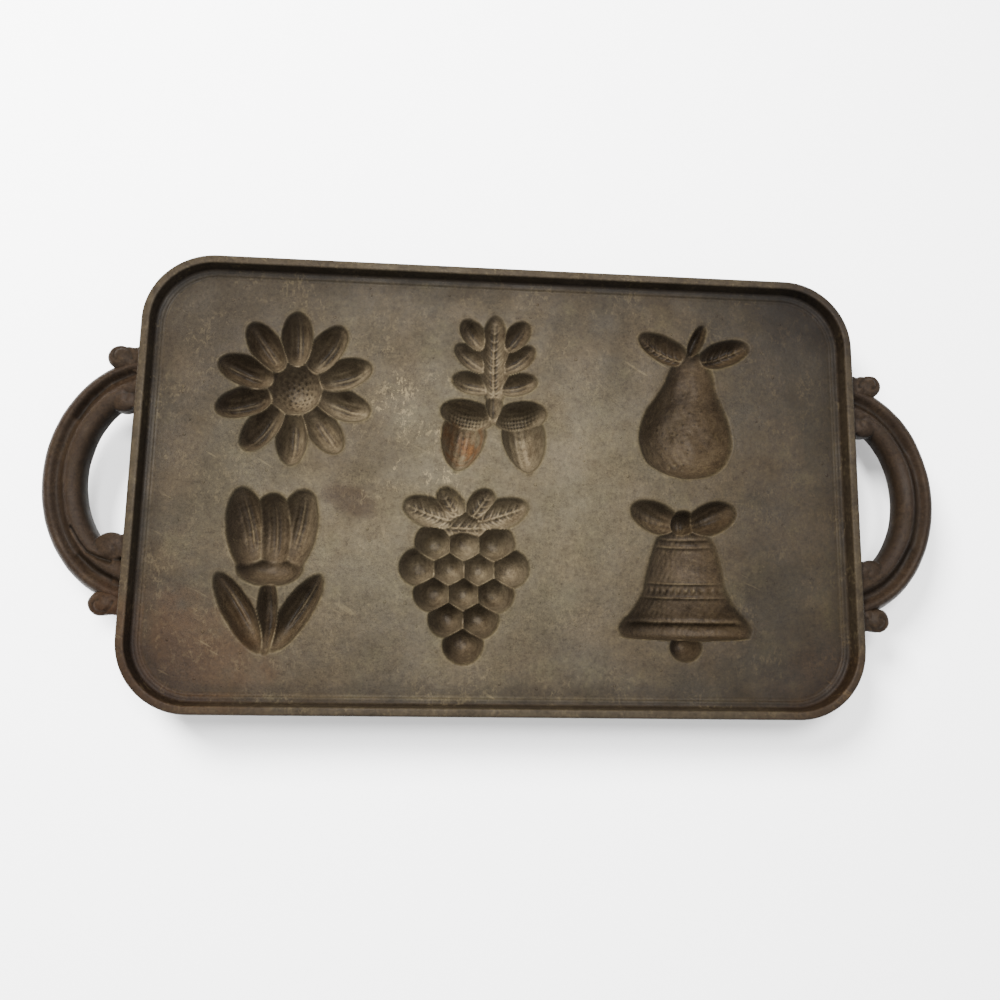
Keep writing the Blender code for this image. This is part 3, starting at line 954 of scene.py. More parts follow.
# %% Sizes of the handles
# The bow's middle line is half an ellipse. It starts inside the rim, a little off the pan's middle.
HANDLE_TOP, HANDLE_DEPTH = 25.2, 9.3
HANDLE_LOW = HANDLE_TOP - HANDLE_DEPTH
HANDLE_REACH = (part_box("handle_right_bow")[1] / MM).x - HALF_LENGTH
HANDLE_SHIFT = -1.3
BOW_ROOT, BOW_HALF_WIDTH, BOW_HALF_SPAN = 7.2, 8.6, 42.93
# How far inside the rim's edge the handles are cut off, out of sight.
HIDDEN = 2.2
BOW_SECTION = [(-8.6, -7.2), (-8.55, -5.4), (-8.3, -3.9), (-7.7, -2.5), (-6.7, -1.3),
               (-5.5, -0.55), (-4.2, -0.12), (-3.1, 0.0), (-2.2, -0.25), (-1.4, -0.8),
               (-0.7, -1.6), (0.1, -2.6), (1.0, -3.2), (1.9, -3.35), (2.7, -2.95), (3.5, -2.2),
               (4.3, -1.6), (5.2, -1.4), (6.3, -1.75), (7.4, -2.8), (8.2, -4.4), (8.6, -6.2),
               (8.3, -7.9), (7.4, -8.9), (6.0, -9.3), (0, -9.3), (-6.0, -9.3), (-7.5, -9.1),
               (-8.4, -8.6)]
# For the left side, -1, and the right side, 1, the inner curls and the outer scrolls: how far
# outwards from the rim and along it the middle lies, and the radius. A scroll also has its end,
# and how high its top is against the bow's.
CURLS = {-1: ((5.2, 31.2, 5.2), (5.4, -29.4, 6.0)), 1: ((5.4, 30.6, 5.0), (5.2, -33.0, 5.2))}
SCROLLS = {-1: (("back", 8.0, 49.0, 5.0, -0.4), ("front", 7.6, -51.8, 4.9, -0.5)),
           1: (("back", 9.0, 48.7, 4.9, -0.4), ("front", 7.2, -53.3, 5.0, -0.5))}
# Grooves pressed in near the ends, as (angle on the bow, place across it) points, width and depth.
END_GROOVES = {-1: ((((34, 1.7), (46, 2.4), (60, 3.1), (74, 3.2)), 1.7, 1.1),
                    (((-30, -1.6), (-40, -2.0), (-48, -2.3), (-56, -3.8), (-64, -5.4)), 0.85, 1.5),
                    (((-46, 1.4), (-58, 0.9), (-70, 0.2)), 1.3, 0.9)),
               1: ((((-30, 1.0), (-44, 0.4), (-58, -0.1), (-74, -0.3)), 2.0, 0.9),
                   (((30, 1.2), (44, 0.8), (58, 0.8), (74, 0.8)), 2.0, 0.7))}
print("the handles reach", round(HANDLE_REACH, 1), "mm past the rim")


# %% Sweep a bow
def on_bow(side, degrees, across=0.0):
    """A place (x, y) on a bow: an angle on its ellipse, and how far outwards of its middle line."""
    angle = radians(degrees)
    reach = HANDLE_REACH + BOW_ROOT - BOW_HALF_WIDTH
    out, along = cos(angle) / reach, sin(angle) / BOW_HALF_SPAN
    length = np.hypot(out, along)
    return (side * (HALF_LENGTH - BOW_ROOT + reach * cos(angle) + across * out / length),
            HANDLE_SHIFT + BOW_HALF_SPAN * sin(angle) + across * along / length)


def bow_line(side, steps=110):
    """Middle line of a bow."""
    points = [(*on_bow(side, -90 + 180 * step / steps), HANDLE_TOP) for step in range(steps + 1)]
    return points if side > 0 else points[::-1]


def smooth_closed(points, steps=4):
    """A smooth closed line through corner points."""
    result = []
    for i in range(len(points)):
        corners = [Vector(points[(i + k) % len(points)]) for k in (-1, 0, 1, 2)]
        result += [tuple(on_spline(*corners, step / steps)) for step in range(steps)]
    return result


def sweep_bow(side):
    """Points and faces of a bow."""
    section = outline_object("bow_section", [(x, -z) for x, z in smooth_closed(BOW_SECTION)])
    path = outline_object("bow_path", bow_line(side), cyclic=False)
    tree = Tree("bow_sweep")
    swept(tree, tree.inputs.outputs["Geometry"], Fill_Caps=True)
    bow = grown(tree, path, "bow", Section=section)
    face_outwards(bow)
    shape = (points_of(bow).tolist(), [tuple(face.vertices) for face in bow.data.polygons])
    for helper in (section, path, bow):
        bpy.data.objects.remove(helper)
    return shape


# %% [markdown]
# ## Rolled ends
#
# A curl is an upright boss with a domed top, and a block carries it into the rim. A scroll is a
# row of such bosses. All of them are cut off inside the rim, and a remesh makes one skin of the
# closed shapes that overlap.


# %% Bosses and blocks
def boss(x, y, radius, low, high, crown, oval=1.0):
    """Points and faces of an upright boss with a domed top, longer in x where it is oval."""
    rows, sides = 14, 40
    outline = [(radius * 0.86, low), (radius * 0.97, low + 0.6)]
    outline += [(radius * sin(radians(90 - 90 * k / rows)),
                 high - crown + crown * cos(radians(90 - 90 * k / rows))) for k in range(rows)]
    points = [(x, y, low)]
    for r, z in outline:
        points += [(x + r * oval * cos(2 * pi * k / sides), y + r * sin(2 * pi * k / sides), z)
                   for k in range(sides)]
    points.append((x, y, high))
    faces = [(0, 1 + (k + 1) % sides, 1 + k) for k in range(sides)]
    for row in range(len(outline) - 1):
        for k in range(sides):
            a, b = 1 + row * sides + k, 1 + row * sides + (k + 1) % sides
            faces.append((a, b, b + sides, a + sides))
    last = 1 + (len(outline) - 1) * sides
    faces += [(last + k, last + (k + 1) % sides, len(points) - 1) for k in range(sides)]
    return points, faces


def block(low, high):
    """Points and faces of a block between two corners."""
    points = [(x, y, z) for z in (low[2], high[2]) for x, y in
              ((low[0], low[1]), (high[0], low[1]), (high[0], high[1]), (low[0], high[1]))]
    return points, [(0, 3, 2, 1), (4, 5, 6, 7), (0, 1, 5, 4), (1, 2, 6, 5), (2, 3, 7, 6),
                    (3, 0, 4, 7)]


# %% One skin
def trimmed(shape, side):
    """A shape cut off inside the rim, so that nothing shows on the rim's inner side."""
    mesh = bpy.data.meshes.new("trim")
    mesh.from_pydata([Vector(point) for point in shape[0]], [], shape[1])
    work = bmesh.new()
    work.from_mesh(mesh)
    bmesh.ops.bisect_plane(work, geom=work.verts[:] + work.edges[:] + work.faces[:], dist=1e-5,
                           plane_co=(side * (HALF_LENGTH - HIDDEN), 0, 0), plane_no=(-side, 0, 0),
                           clear_outer=True)
    bmesh.ops.holes_fill(work, edges=[edge for edge in work.edges if edge.is_boundary], sides=0)
    bmesh.ops.triangulate(work, faces=[face for face in work.faces if len(face.verts) > 4])
    points = [tuple(vertex.co) for vertex in work.verts]
    faces = [tuple(vertex.index for vertex in face.verts) for face in work.faces]
    work.free()
    bpy.data.meshes.remove(mesh)
    return points, faces


def melted(name, shapes, voxel, rounds):
    """Overlapping closed shapes made one skin by a voxel remesh and smoothed."""
    points, faces = [], []
    for shape_points, shape_faces in shapes:
        faces += [tuple(index + len(points) for index in face) for face in shape_faces]
        points += [tuple(point) for point in shape_points]
    rough = mesh_object(name + "_rough", points, faces)
    remesh = rough.modifiers.new("remesh", "REMESH")
    remesh.mode = "VOXEL"
    remesh.voxel_size = voxel * MM
    smooth = rough.modifiers.new("smooth", "SMOOTH")
    smooth.factor, smooth.iterations = 0.5, rounds
    piece = evaluated(rough, name)
    bpy.data.objects.remove(rough)
    piece.data.shade_smooth()
    return piece


# %% [markdown]
# ## Grooves and uneven skin
#
# The remeshed handles are finished by moving their points: grooves are pressed in from above, the
# root is widened where it grows out of the rim, and smooth waves make the skin uneven. Then the
# bend at each point is measured. It gives the maps of ridges and creases that the iron reads.


# %% Grooves and uneven skin
def normals_of(obj):
    return vertex_values(obj, "normal")


def move_points(obj, points):
    obj.data.vertices.foreach_set("co", (points * MM).astype(np.float32).ravel())
    obj.data.update()


def groove(obj, line, width, depth):
    """Presses a soft groove into the upper side of a handle along a line of (x, y) points."""
    points, normals = points_of(obj), normals_of(obj)
    nearest = np.full(len(points), 99.0)
    for (ax, ay), (bx, by) in zip(line, line[1:]):
        along = np.array([bx - ax, by - ay])
        offset = points[:, :2] - (ax, ay)
        t = np.clip(offset @ along / (along @ along), 0, 1)
        nearest = np.minimum(nearest, np.hypot(*(offset - t[:, None] * along).T))
    press = depth * ridge(nearest, width) * ease((points[:, 2] - HANDLE_LOW) / 2.5)
    points[:, 2] -= press * ease((normals[:, 2] + 0.1) / 0.5)
    move_points(obj, points)


def spiral(x, y, radius, start, sweep, steps=26):
    """Points of a line that winds in towards the middle of a scroll."""
    line = []
    for step in range(steps + 1):
        t = step / steps
        angle = radians(start + sweep * t)
        reach = radius * (1 - 0.72 * t)
        line.append((x + reach * cos(angle), y + reach * sin(angle)))
    return line


def flare_at_rim(obj, side, reach=1.8):
    """Widens a handle where it grows out of the rim, as a cast corner does."""
    points, normals = points_of(obj), normals_of(obj)
    distance = side * points[:, 0] - HALF_LENGTH
    amount = 1.1 * np.clip(1 - distance / reach, 0, 1) ** 2
    level = np.hypot(normals[:, 1], normals[:, 2]) + 1e-6
    points[:, 1] += amount * normals[:, 1] / level
    points[:, 2] += amount * np.minimum(normals[:, 2] / level, 0.25)
    move_points(obj, points)


# %% Waves and maps
def waves(points, size, seed):
    """Smooth waves over any points, about -1..1, as uneven cast surfaces have."""
    random = np.random.default_rng(seed)
    total = np.zeros(len(points))
    for _ in range(14):
        direction = random.normal(size=3)
        direction /= np.linalg.norm(direction)
        step = 2 * pi / (size * random.uniform(0.7, 1.6))
        total += np.sin(points @ direction * step + random.uniform(0, 2 * pi))
    return total / 4


def cast_skin(obj, amount, size, seed):
    """Moves a surface in and out a little, within the size of the pan."""
    points, normals = points_of(obj), normals_of(obj)
    shift = amount * (waves(points, size, seed) + 0.5 * waves(points, size / 2.6, seed + 1))
    points += normals * shift[:, None]
    low, high = np.array(CAD_BOX) / MM
    move_points(obj, np.clip(points, low + 0.02, high - 0.02))


def shape_maps(obj, radius, rounds):
    """Maps of ridges (lip) and creases: how sharply the surface bends against this radius."""
    points, normals = points_of(obj), normals_of(obj)
    count = len(points)
    ends = np.empty(len(obj.data.edges) * 2, np.int32)
    obj.data.edges.foreach_get("vertices", ends)
    a, b = ends.reshape(-1, 2).T
    near = np.bincount(a, minlength=count) + np.bincount(b, minlength=count)

    def mean(values):
        return (np.bincount(a, values[b], count) + np.bincount(b, values[a], count)) / near

    length = ((points[a] - points[b]) ** 2).sum(1)
    square = (np.bincount(a, length, count) + np.bincount(b, length, count)) / near
    middle = np.stack([mean(points[:, axis]) for axis in range(3)], 1)
    bend = ((points - middle) * normals).sum(1) * 2 / square
    for _ in range(rounds):
        bend = (bend + mean(bend)) / 2
    give_map(obj, "lip", ease(bend * radius))
    give_map(obj, "crease", ease(-bend * radius))


# %% Build the handles
def from_rim(side, out, along):
    """A place so far outwards from the rim's edge and so far along it."""
    return side * (HALF_LENGTH + out), along


def build_bow(side, name, voxel):
    shapes = [sweep_bow(side)]
    for out, along, radius in CURLS[side]:
        near, far = sorted((side * (HALF_LENGTH - HIDDEN), side * (HALF_LENGTH + out)))
        shapes.append(boss(*from_rim(side, out, along), radius, HANDLE_LOW + 0.8,
                           HANDLE_TOP - 0.1, 2.4, oval=1.12))
        shapes.append(block((near, along - radius * 0.6, HANDLE_LOW + 1.6),
                            (far, along + radius * 0.8, HANDLE_TOP - 1.0)))
    bow = melted(name + "_cast", [trimmed(shape, side) for shape in shapes], voxel, 4)
    for out, along, radius in CURLS[side]:
        row = 1 if along > HANDLE_SHIFT else -1
        turn = 180 if side > 0 else 0
        groove(bow, spiral(*from_rim(side, out, along), radius * 0.98,
                           turn - side * row * 150, side * row * 150), 1.0, 0.3)
    for line, width, depth in END_GROOVES[side]:
        groove(bow, [on_bow(side, angle, across) for angle, across in line], width, depth)
    flare_at_rim(bow, side)
    cast_skin(bow, 0.06, 17.0, 5 + side)
    return bow


def build_scroll(side, name, voxel, out, along, radius, sink):
    """A scroll of four bosses, from its round tip to the rim."""
    row = 1 if along > 0 else -1
    shapes = []
    for place, inwards, share, foot, lower, crown in (
            (out, 0, 1.0, 0.9, 0, 2.2), (out - 3.4, 0.15, 0.95, 1.0, 0.6, 1.8),
            (0.8, 0.1, 0.98, 1.1, 1.0, 1.4), (0.2, 2.4, 0.8, 1.1, 1.5, 1.2)):
        shapes.append(boss(*from_rim(side, place, along - row * inwards), radius * share,
                           HANDLE_LOW + foot, HANDLE_TOP + sink - lower, crown))
    scroll = melted(name + "_cast", [trimmed(shape, side) for shape in shapes], voxel, 10)
    groove(scroll, spiral(*from_rim(side, out, along), radius, 90 * row + side * row * 95,
                          side * row * -250), 0.8, 0.38)
    flare_at_rim(scroll, side)
    cast_skin(scroll, 0.09, 6.0, 9 + side + row)
    return scroll


def build_handle(side, label):
    """The pieces of one handle, each with its node and its slot."""
    voxel = 0.36
    node = f"handle_{label}_bow"
    made = [(build_bow(side, node, voxel), node, "handle")]
    for end, *sizes in SCROLLS[side]:
        node = f"handle_{label}_{end}_scroll"
        made.append((build_scroll(side, node, voxel * 0.8, *sizes), node, "scroll"))
    for piece, _, _ in made:
        face_outwards(piece)
        shape_maps(piece, 1.9, 3)
    return made


handle_pieces = build_handle(-1, "left") + build_handle(1, "right")

# %% [markdown]
# ## Old seasoned iron
#
# The pan has one finish: sand-cast iron under thin baked oil. It is warm olive grey where the oil
# is thin, dark brown on the handles, and dark brown in hollows, partly soot and partly painted
# shade.
# Every pattern reads Object coordinates, and all pieces sit at the origin, so the finish runs on
# across the seams. A small class gives the nodes short names. It also keeps the colour made so far,
# which each layer changes.


# %% Nodes for the iron
class Shade:
    """Short names for the nodes of a material, and the colour that its layers have made so far."""

    def __init__(self, name):
        self.material = bpy.data.materials.new(name)
        self.material.use_nodes = True
        self.tree = self.material.node_tree
        self.shader = self.tree.nodes["Principled BSDF"]
        self.place = self.tree.nodes.new("ShaderNodeTexCoord").outputs["Object"]
        self.colour = None

    def node(self, kind, settings=(), **values):
        node = self.tree.nodes.new(kind)
        for key, value in dict(settings).items():
            setattr(node, key, value)
        plug(self.tree, node, values)
        return node

    def math(self, kind, a, b=0.0, c=0.0):
        return self.node("ShaderNodeMath", {"operation": kind}, i0=a, i1=b, i2=c).outputs[0]

    def times(self, a, b):
        return self.math("MULTIPLY", a, b)

    def vectors(self, kind, a, b=(0, 0, 0)):
        return self.node("ShaderNodeVectorMath", {"operation": kind}, i0=a, i1=b).outputs

    def axes(self, vector):
        return self.node("ShaderNodeSeparateXYZ", i0=vector).outputs

    def map(self, key):
        return self.node("ShaderNodeAttribute", {"attribute_name": key}).outputs["Fac"]

    def noise(self, scale, detail=4.0, roughness=0.5, vector=None):
        return self.node("ShaderNodeTexNoise", Scale=scale, Detail=detail, Roughness=roughness,
                         Vector=vector or self.place).outputs["Fac"]

    def ramp(self, value, low, high, start=0.0, end=1.0):
        """Value from low..high made start..end with a smooth step."""
        return self.node("ShaderNodeMapRange", {"interpolation_type": "SMOOTHSTEP"}, i0=value,
                         i1=low, i2=high, i3=start, i4=end).outputs[0]

    def mix(self, factor, a, b, blend="MIX"):
        return self.node("ShaderNodeMix", {"data_type": "RGBA", "blend_type": blend}, i0=factor,
                         i6=a, i7=b).outputs[2]


# %% Places on the pan
class PanShade(Shade):
    """Adds masks that say where on the pan a point lies, with all places in mm."""

    def moved(self, location, scale=(1, 1, 1), turn=0.0):
        """Object coordinates moved to a place on the pan, turned and scaled."""
        return self.node("ShaderNodeMapping", {"vector_type": "TEXTURE"}, Vector=self.place,
                         Location=tuple(value * MM for value in location),
                         Rotation=(0, 0, radians(turn)), Scale=scale).outputs[0]

    def distance(self, vector):
        return self.vectors("LENGTH", vector)["Value"]

    def spot(self, location, half_sizes, ragged, turn=0.0):
        """1 in the middle of an oval patch and 0 outside, with a ragged edge."""
        reach = self.distance(self.moved(location, [size * MM for size in half_sizes], turn))
        edge = self.math("MULTIPLY_ADD", self.noise(110.0, 5.0), ragged * 2, -ragged)
        return self.ramp(self.math("ADD", reach, edge), 1.0, 0.35)

    def inside_edge(self):
        """How far a point lies inside the rim's outer outline, in mm, less than 0 beyond it."""
        straight = (HALF_LENGTH - CORNER_RADIUS, HALF_WIDTH - CORNER_RADIUS, 1000.0)
        past = self.vectors("SUBTRACT", self.vectors("ABSOLUTE", self.place)[0],
                            tuple(value * MM for value in straight))[0]
        axes = self.axes(past)
        flat_part = self.math("MINIMUM", self.math("MAXIMUM", axes["X"], axes["Y"]), 0.0)
        round_part = self.distance(self.vectors("MAXIMUM", past)[0])
        return self.math("MULTIPLY_ADD", self.math("ADD", round_part, flat_part), -1 / MM,
                         CORNER_RADIUS)

    def scratches(self, turn, scale):
        """Thin broken lines in one direction."""
        streaks = self.noise(scale, 2.0, 0.5, self.moved((0, 0, 0), (10, 1, 1), turn))
        broken = self.ramp(self.noise(75.0, 3.0), 0.50, 0.66)
        return self.times(self.ramp(streaks, 0.66, 0.72), broken)

    def lay(self, mask, colour, share=1.0):
        """Lays a colour over the finish, as far as a mask and a share say."""
        mask = mask if share == 1.0 else self.times(mask, share)
        self.colour = self.mix(mask, self.colour, colour)

    def tint(self, mask, factors):
        """Multiplies the red, green and blue of the finish, as far as a mask says."""
        self.colour = self.mix(mask, self.colour, (*factors, 1), "MULTIPLY")

    def mottled(self, colour, pattern, *steps):
        """A colour changed between the two values of a pattern that each step names."""
        for (start, end), factors in steps:
            mask = self.ramp(pattern, start, end, 0.0, 0.8)
            colour = self.mix(mask, colour, (*factors, 1), "MULTIPLY")
        return colour


# %% Colours
def tone(red, green, blue):
    """A colour given as sRGB 0..255, made linear."""
    return (*[((v / 255 + 0.055) / 1.055) ** 2.4 if v > 10 else v / 255 / 12.92
              for v in (red, green, blue)], 1.0)


def mixed(colour, factors):
    """A colour with its red, green and blue multiplied."""
    return (*[value * factor for value, factor in zip(colour, factors)], 1.0)


THIN, THICK, SOOT_AND_SHADE = tone(53, 47, 34), tone(31, 26, 18), tone(19, 14, 9)
print("thin oil, linear:", [round(value, 4) for value in THIN[:3]])

# %% [markdown]
# ## Oil and stains
#
# The finish of an old pan tells its history, so it is built up in layers, with a short function
# for each group of them. Oil comes first. It has baked on thinly in the middle and thickly towards
# the ends, with a drift of hue and a mottle; its lighter middle is partly a painted pool of light
# and its darker ends partly painted shade. Over it lie a few large stains: two dark far corners, a
# brown patch, a smear, and a reddish corner at the near left.

# %% Oil and stains
# Each stain: its middle and half sizes in mm, how ragged it is, its turn, its share, and its
# colour as factors of the thick oil. A late stain lies over the tone of the hollows too.
EARLY_STAINS = (((-134, 84, 20), (66, 50, 60), 0.4, 0, 0.8, (0.92, 0.9, 0.9)),
                ((138, 70, 20), (46, 50, 60), 0.4, 0, 0.8, (0.92, 0.9, 0.9)),
                ((-60, 12, 20), (30, 24, 40), 0.6, 0, 0.45, (1.1, 1.0, 0.85)),
                ((-64, -8, 20), (17, 9, 30), 0.5, -20, 0.75, (1.05, 0.82, 0.60)))
LATE_STAINS = (((-138, -76, 20), (62, 40, 60), 0.5, 0, 0.75, (1.50, 1.04, 0.72)),)


def oil(s, thin, thick):
    # Partly painted light: thin oil in the middle doubles as a painted pool of light, thick oil
    # towards the ends as painted shade.
    wobble = s.math("MULTIPLY_ADD", s.noise(14.0, 4.0), 0.5, -0.25)
    away = s.math("ADD", s.distance(s.moved((-4, -5, 20), (0.150, 0.098, 0.4))), wobble)
    s.colour = s.mix(s.ramp(away, 0.15, 1.1), thin, thick)
    warm = s.ramp(s.noise(38.0, 5.0, 0.6, s.moved((400, 0, 0))), 0.38, 0.64)
    s.lay(warm, mixed(thin, (1.10, 0.92, 0.76)), 0.24)
    green = s.ramp(s.noise(60.0, 5.0, 0.6, s.moved((0, 700, 0))), 0.5, 0.72)
    s.lay(green, mixed(thin, (1.02, 1.08, 0.94)), 0.30)
    s.colour = s.mottled(s.colour, s.noise(240.0, 6.0, 0.7), ((0.50, 0.66), (1.22, 1.22, 1.19)),
                         ((0.48, 0.33), (0.74, 0.70, 0.66)))


def stains(s, thick, rows):
    for place, half_sizes, ragged, turn, share, factors in rows:
        s.lay(s.spot(place, half_sizes, ragged, turn), mixed(thick, factors), share)


print(len(EARLY_STAINS) + len(LATE_STAINS), "stains")

# %% [markdown]
# ## Hollows, rust, dirt and painted shade
#
# The moulds and the rim have a second tone, which the map called hollow places. It is painted
# light:
# lighter near the middle of the pan, as a painted pool of light, and darker towards the ends, as
# painted shade. It is also blotched all over. A touch of rust sits in one mould. The corner under
# the rim's inner wall and the edge of the deck are darker, partly dirt and partly painted shade,
# and the rim's outer side is darker too.


# %% Hollows, rust, dirt and painted shade
def hollows(s, second):
    # Painted light: the second tone is lighter round the middle of the pan and, as painted shade,
    # darker towards its ends.
    outer = s.ramp(s.distance(s.moved((-24, 14, 10), (0.110, 0.085, 0.4), -41)), 0.3, 0.95)
    shaded_to_ends = s.mix(outer, second, mixed(second, (0.34, 0.30, 0.28)))
    blotched = s.mottled(shaded_to_ends, s.noise(120.0, 6.0, 0.68, s.moved((0, 44, 0))),
                         ((0.50, 0.64), (1.30, 1.34, 1.34)), ((0.49, 0.36), (0.50, 0.46, 0.43)))
    s.lay(s.map("hollow"), blotched, 0.75)


def rust(s, thin):
    patch_of_rust = s.times(s.spot((-19, 19, 12), (15, 13, 40), 0.8),
                            s.ramp(s.noise(150.0, 5.0), 0.34, 0.60))
    mostly_in_moulds = s.math("MULTIPLY_ADD", s.map("hollow"), 0.5, 0.12)
    s.lay(s.times(patch_of_rust, mostly_in_moulds), mixed(thin, (2.1, 0.95, 0.40)))


def dirt_and_painted_shade(s, thick, soot_and_shade):
    inside = s.inside_edge()
    # Dirt and painted shade: the deck is darker along the foot of the rim's inner wall.
    on_deck = s.times(s.ramp(inside, 14.5, 9.2, 0.0, 0.6), s.ramp(inside, 7.2, 8.9))
    uneven = s.ramp(s.noise(90.0, 5.0, 0.6), 0.3, 0.6, 0.5, 1.0)
    s.lay(s.times(on_deck, uneven), mixed(thick, (0.80, 0.74, 0.66)))
    # Painted shade, with some dirt: the corner under the rim's inner wall is darkened.
    shaded_corner = s.times(s.ramp(inside, 3.8, 4.5), s.ramp(inside, 7.2, 5.4, 0.0, 0.85))
    s.tint(shaded_corner, (0.46, 0.41, 0.36))
    outer_side = s.times(s.ramp(inside, 0.9, 0.1, 0.0, 0.5), s.map("hollow"))
    s.lay(outer_side, mixed(soot_and_shade, (1.2, 1.1, 1.1)))


# %% [markdown]
# ## Soot, painted shade, worn lips and grain
#
# Steep walls and creases are darker, partly soot and partly painted shade, and undersides are
# darker too, where only the feet are scuffed lighter. A cloth and a knife rub ridges and lips bare,
# and the pale colour there is partly a painted highlight; the map called lip says where those are.
# Then comes the grain of the moulding sand, coarse and fine.


# %% Soot, painted shade, worn lips and grain
def soot_shade_and_wear(s, thin, thick, soot_and_shade, walls, lip_wear_and_highlight):
    upward = s.axes(s.node("ShaderNodeNewGeometry").outputs["Normal"])["Z"]
    # Painted shade, partly soot: steep walls are darkened.
    s.lay(s.ramp(upward, 0.80, 0.25), soot_and_shade, walls)
    # Painted shade in creases, partly soot.
    s.lay(s.map("crease"), soot_and_shade, 0.8)
    # Undersides are darker.
    s.lay(s.ramp(upward, -0.1, -0.55), mixed(soot_and_shade, (1.25, 1.2, 1.15)), 0.75)
    s.lay(s.map("foot"), mixed(thick, (1.5, 1.5, 1.5)), 0.5)
    # Pale lips and ridges: rubbed bare, and partly a painted highlight.
    here_and_there = s.ramp(s.noise(110.0, 5.0, 0.6), 0.42, 0.64, 0.05, lip_wear_and_highlight)
    s.lay(s.times(s.map("lip"), here_and_there), mixed(thin, (1.95, 1.93, 1.86)))


def sand_grain(s):
    coarse = s.noise(560.0, 6.0, 0.75, s.moved((90, 20, 0)))
    s.colour = s.mottled(s.colour, coarse, ((0.52, 0.62), (1.26, 1.26, 1.23)),
                         ((0.48, 0.38), (0.68, 0.65, 0.61)))
    fine = s.noise(1400.0, 4.0, 0.7)
    uneven = s.ramp(s.noise(85.0, 4.0), 0.35, 0.65, 0.35, 1.0)
    for end, share, factors in ((0.70, 0.5, (1.62, 1.60, 1.54)), (0.32, 0.65, (0.40, 0.36, 0.32))):
        s.tint(s.times(s.ramp(fine, 0.50, end, 0.0, share), uneven), factors)


# %% [markdown]
# ## Marks of use and painted shade
#
# Left of the middle the deck is worn most, with pale flecks, upright scratches and hair-thin pale
# threads. Fainter scratches slant across the whole pan. Towards the right end it gets darker, which
# is painted shade, and three corners are darker.

# %% Marks of use and painted shade
# Each darker corner: its middle and half sizes in mm, and what is left of red, green and blue.
DARKER_CORNERS = (((-144, -86, 20), (36, 32, 60), (0.58, 0.53, 0.50)),
                  ((142, 84, 20), (40, 34, 60), (0.52, 0.47, 0.44)),
                  ((146, -88, 20), (44, 36, 60), (0.76, 0.62, 0.52)))


def marks_of_use(s, thin):
    """Lays flecks, scratches and threads, and returns the scratches for the relief."""
    middle = s.math("MAXIMUM", s.spot((-36, 20, 20), (34, 40, 60), 0.9),
                    s.spot((-23, -7, 20), (11, 28, 60), 0.7))
    patches = s.ramp(s.noise(66.0, 5.0, 0.6, s.moved((0, 0, 99))), 0.44, 0.60, 0.0, 0.9)
    here = s.times(patches, s.math("MULTIPLY_ADD", middle, 0.80, 0.20))
    flecks = s.ramp(s.noise(760.0, 5.0, 0.75, s.moved((33, 0, 0))), 0.585, 0.66)
    s.lay(s.times(flecks, here), mixed(thin, (2.7, 2.65, 2.45)))
    upright = s.times(s.scratches(84, 700.0), s.spot((-28, -2, 20), (30, 40, 60), 0.8))
    scratches = s.math("MAXIMUM", upright, s.times(s.scratches(152, 520.0), 0.5))
    s.lay(scratches, mixed(thin, (2.5, 2.45, 2.3)), 0.5)
    winding = s.noise(250.0, 5.0, 0.6, s.moved((0, 0, 55), (0.8, 1.9, 1)))
    threads = s.ramp(s.math("ABSOLUTE", s.math("SUBTRACT", winding, 0.5)), 0.045, 0.015)
    broken = s.times(s.ramp(s.noise(420.0, 3.0), 0.45, 0.58), here)
    s.lay(s.times(threads, broken), mixed(thin, (2.7, 2.6, 2.4)), 0.8)
    return scratches


def darker_right(s, on_deck, in_hollows):
    # Painted shade: darker towards the right end, less on the handles and on the rim's land and
    # walls.
    amount = s.math("MULTIPLY_ADD", s.map("hollow"), in_hollows - on_deck, on_deck)
    s.tint(s.times(s.ramp(s.axes(s.place)["X"], 0.02, 0.12), amount), (0.57, 0.52, 0.43))
    for corner, half_sizes, factors in DARKER_CORNERS:
        s.tint(s.spot(corner, half_sizes, 0.4), factors)


# %% [markdown]
# ## The whole finish
#
# One function lays all layers, so that the deck, moulds, rim and handles share them and differ in a
# few tones and amounts. Roughness drifts slowly, and a low bump adds sand grain and pits.


# %% The whole finish
def sand_relief(s, scratches):
    sand = s.math("MULTIPLY_ADD", s.noise(700.0, 5.0, 0.7), 0.55,
                  s.times(s.noise(210.0, 4.0, 0.55), 0.6))
    cells = s.node("ShaderNodeTexVoronoi", Scale=260.0, Vector=s.place).outputs["Distance"]
    pits = s.times(s.ramp(cells, 0.05, 0.26), 0.16)
    height = s.math("ADD", s.math("ADD", sand, pits), s.times(scratches, -0.12))
    return s.node("ShaderNodeBump", Strength=0.7, Distance=0.0003, Height=height).outputs[0]


def iron(name, tones, walls, right_shade, gloss, lip_wear_and_highlight, shine):
    """Seasoned iron. The tones are thin oil, thick oil, hollows and soot, which also serves as
    painted shade.
    """
    thin, thick, second, soot_and_shade = tones
    s = PanShade(name)
    oil(s, thin, thick)
    stains(s, thick, EARLY_STAINS)
    hollows(s, second)
    stains(s, thick, LATE_STAINS)
    rust(s, thin)
    dirt_and_painted_shade(s, thick, soot_and_shade)
    soot_shade_and_wear(s, thin, thick, soot_and_shade, walls, lip_wear_and_highlight)
    sand_grain(s)
    scratches = marks_of_use(s, thin)
    darker_right(s, *right_shade)
    rough = s.ramp(s.noise(45.0, 5.0, 0.6), 0.3, 0.7, gloss - 0.07, gloss + 0.10)
    for key, source in (("Base Color", s.colour), ("Roughness", rough),
                        ("Normal", sand_relief(s, scratches))):
        s.tree.links.new(source, s.shader.inputs[key])
    s.shader.inputs["Metallic"].default_value = 0.25
    s.shader.inputs["Specular IOR Level"].default_value = shine
    print(name, "has", len(s.tree.nodes), "nodes")
    return s.material


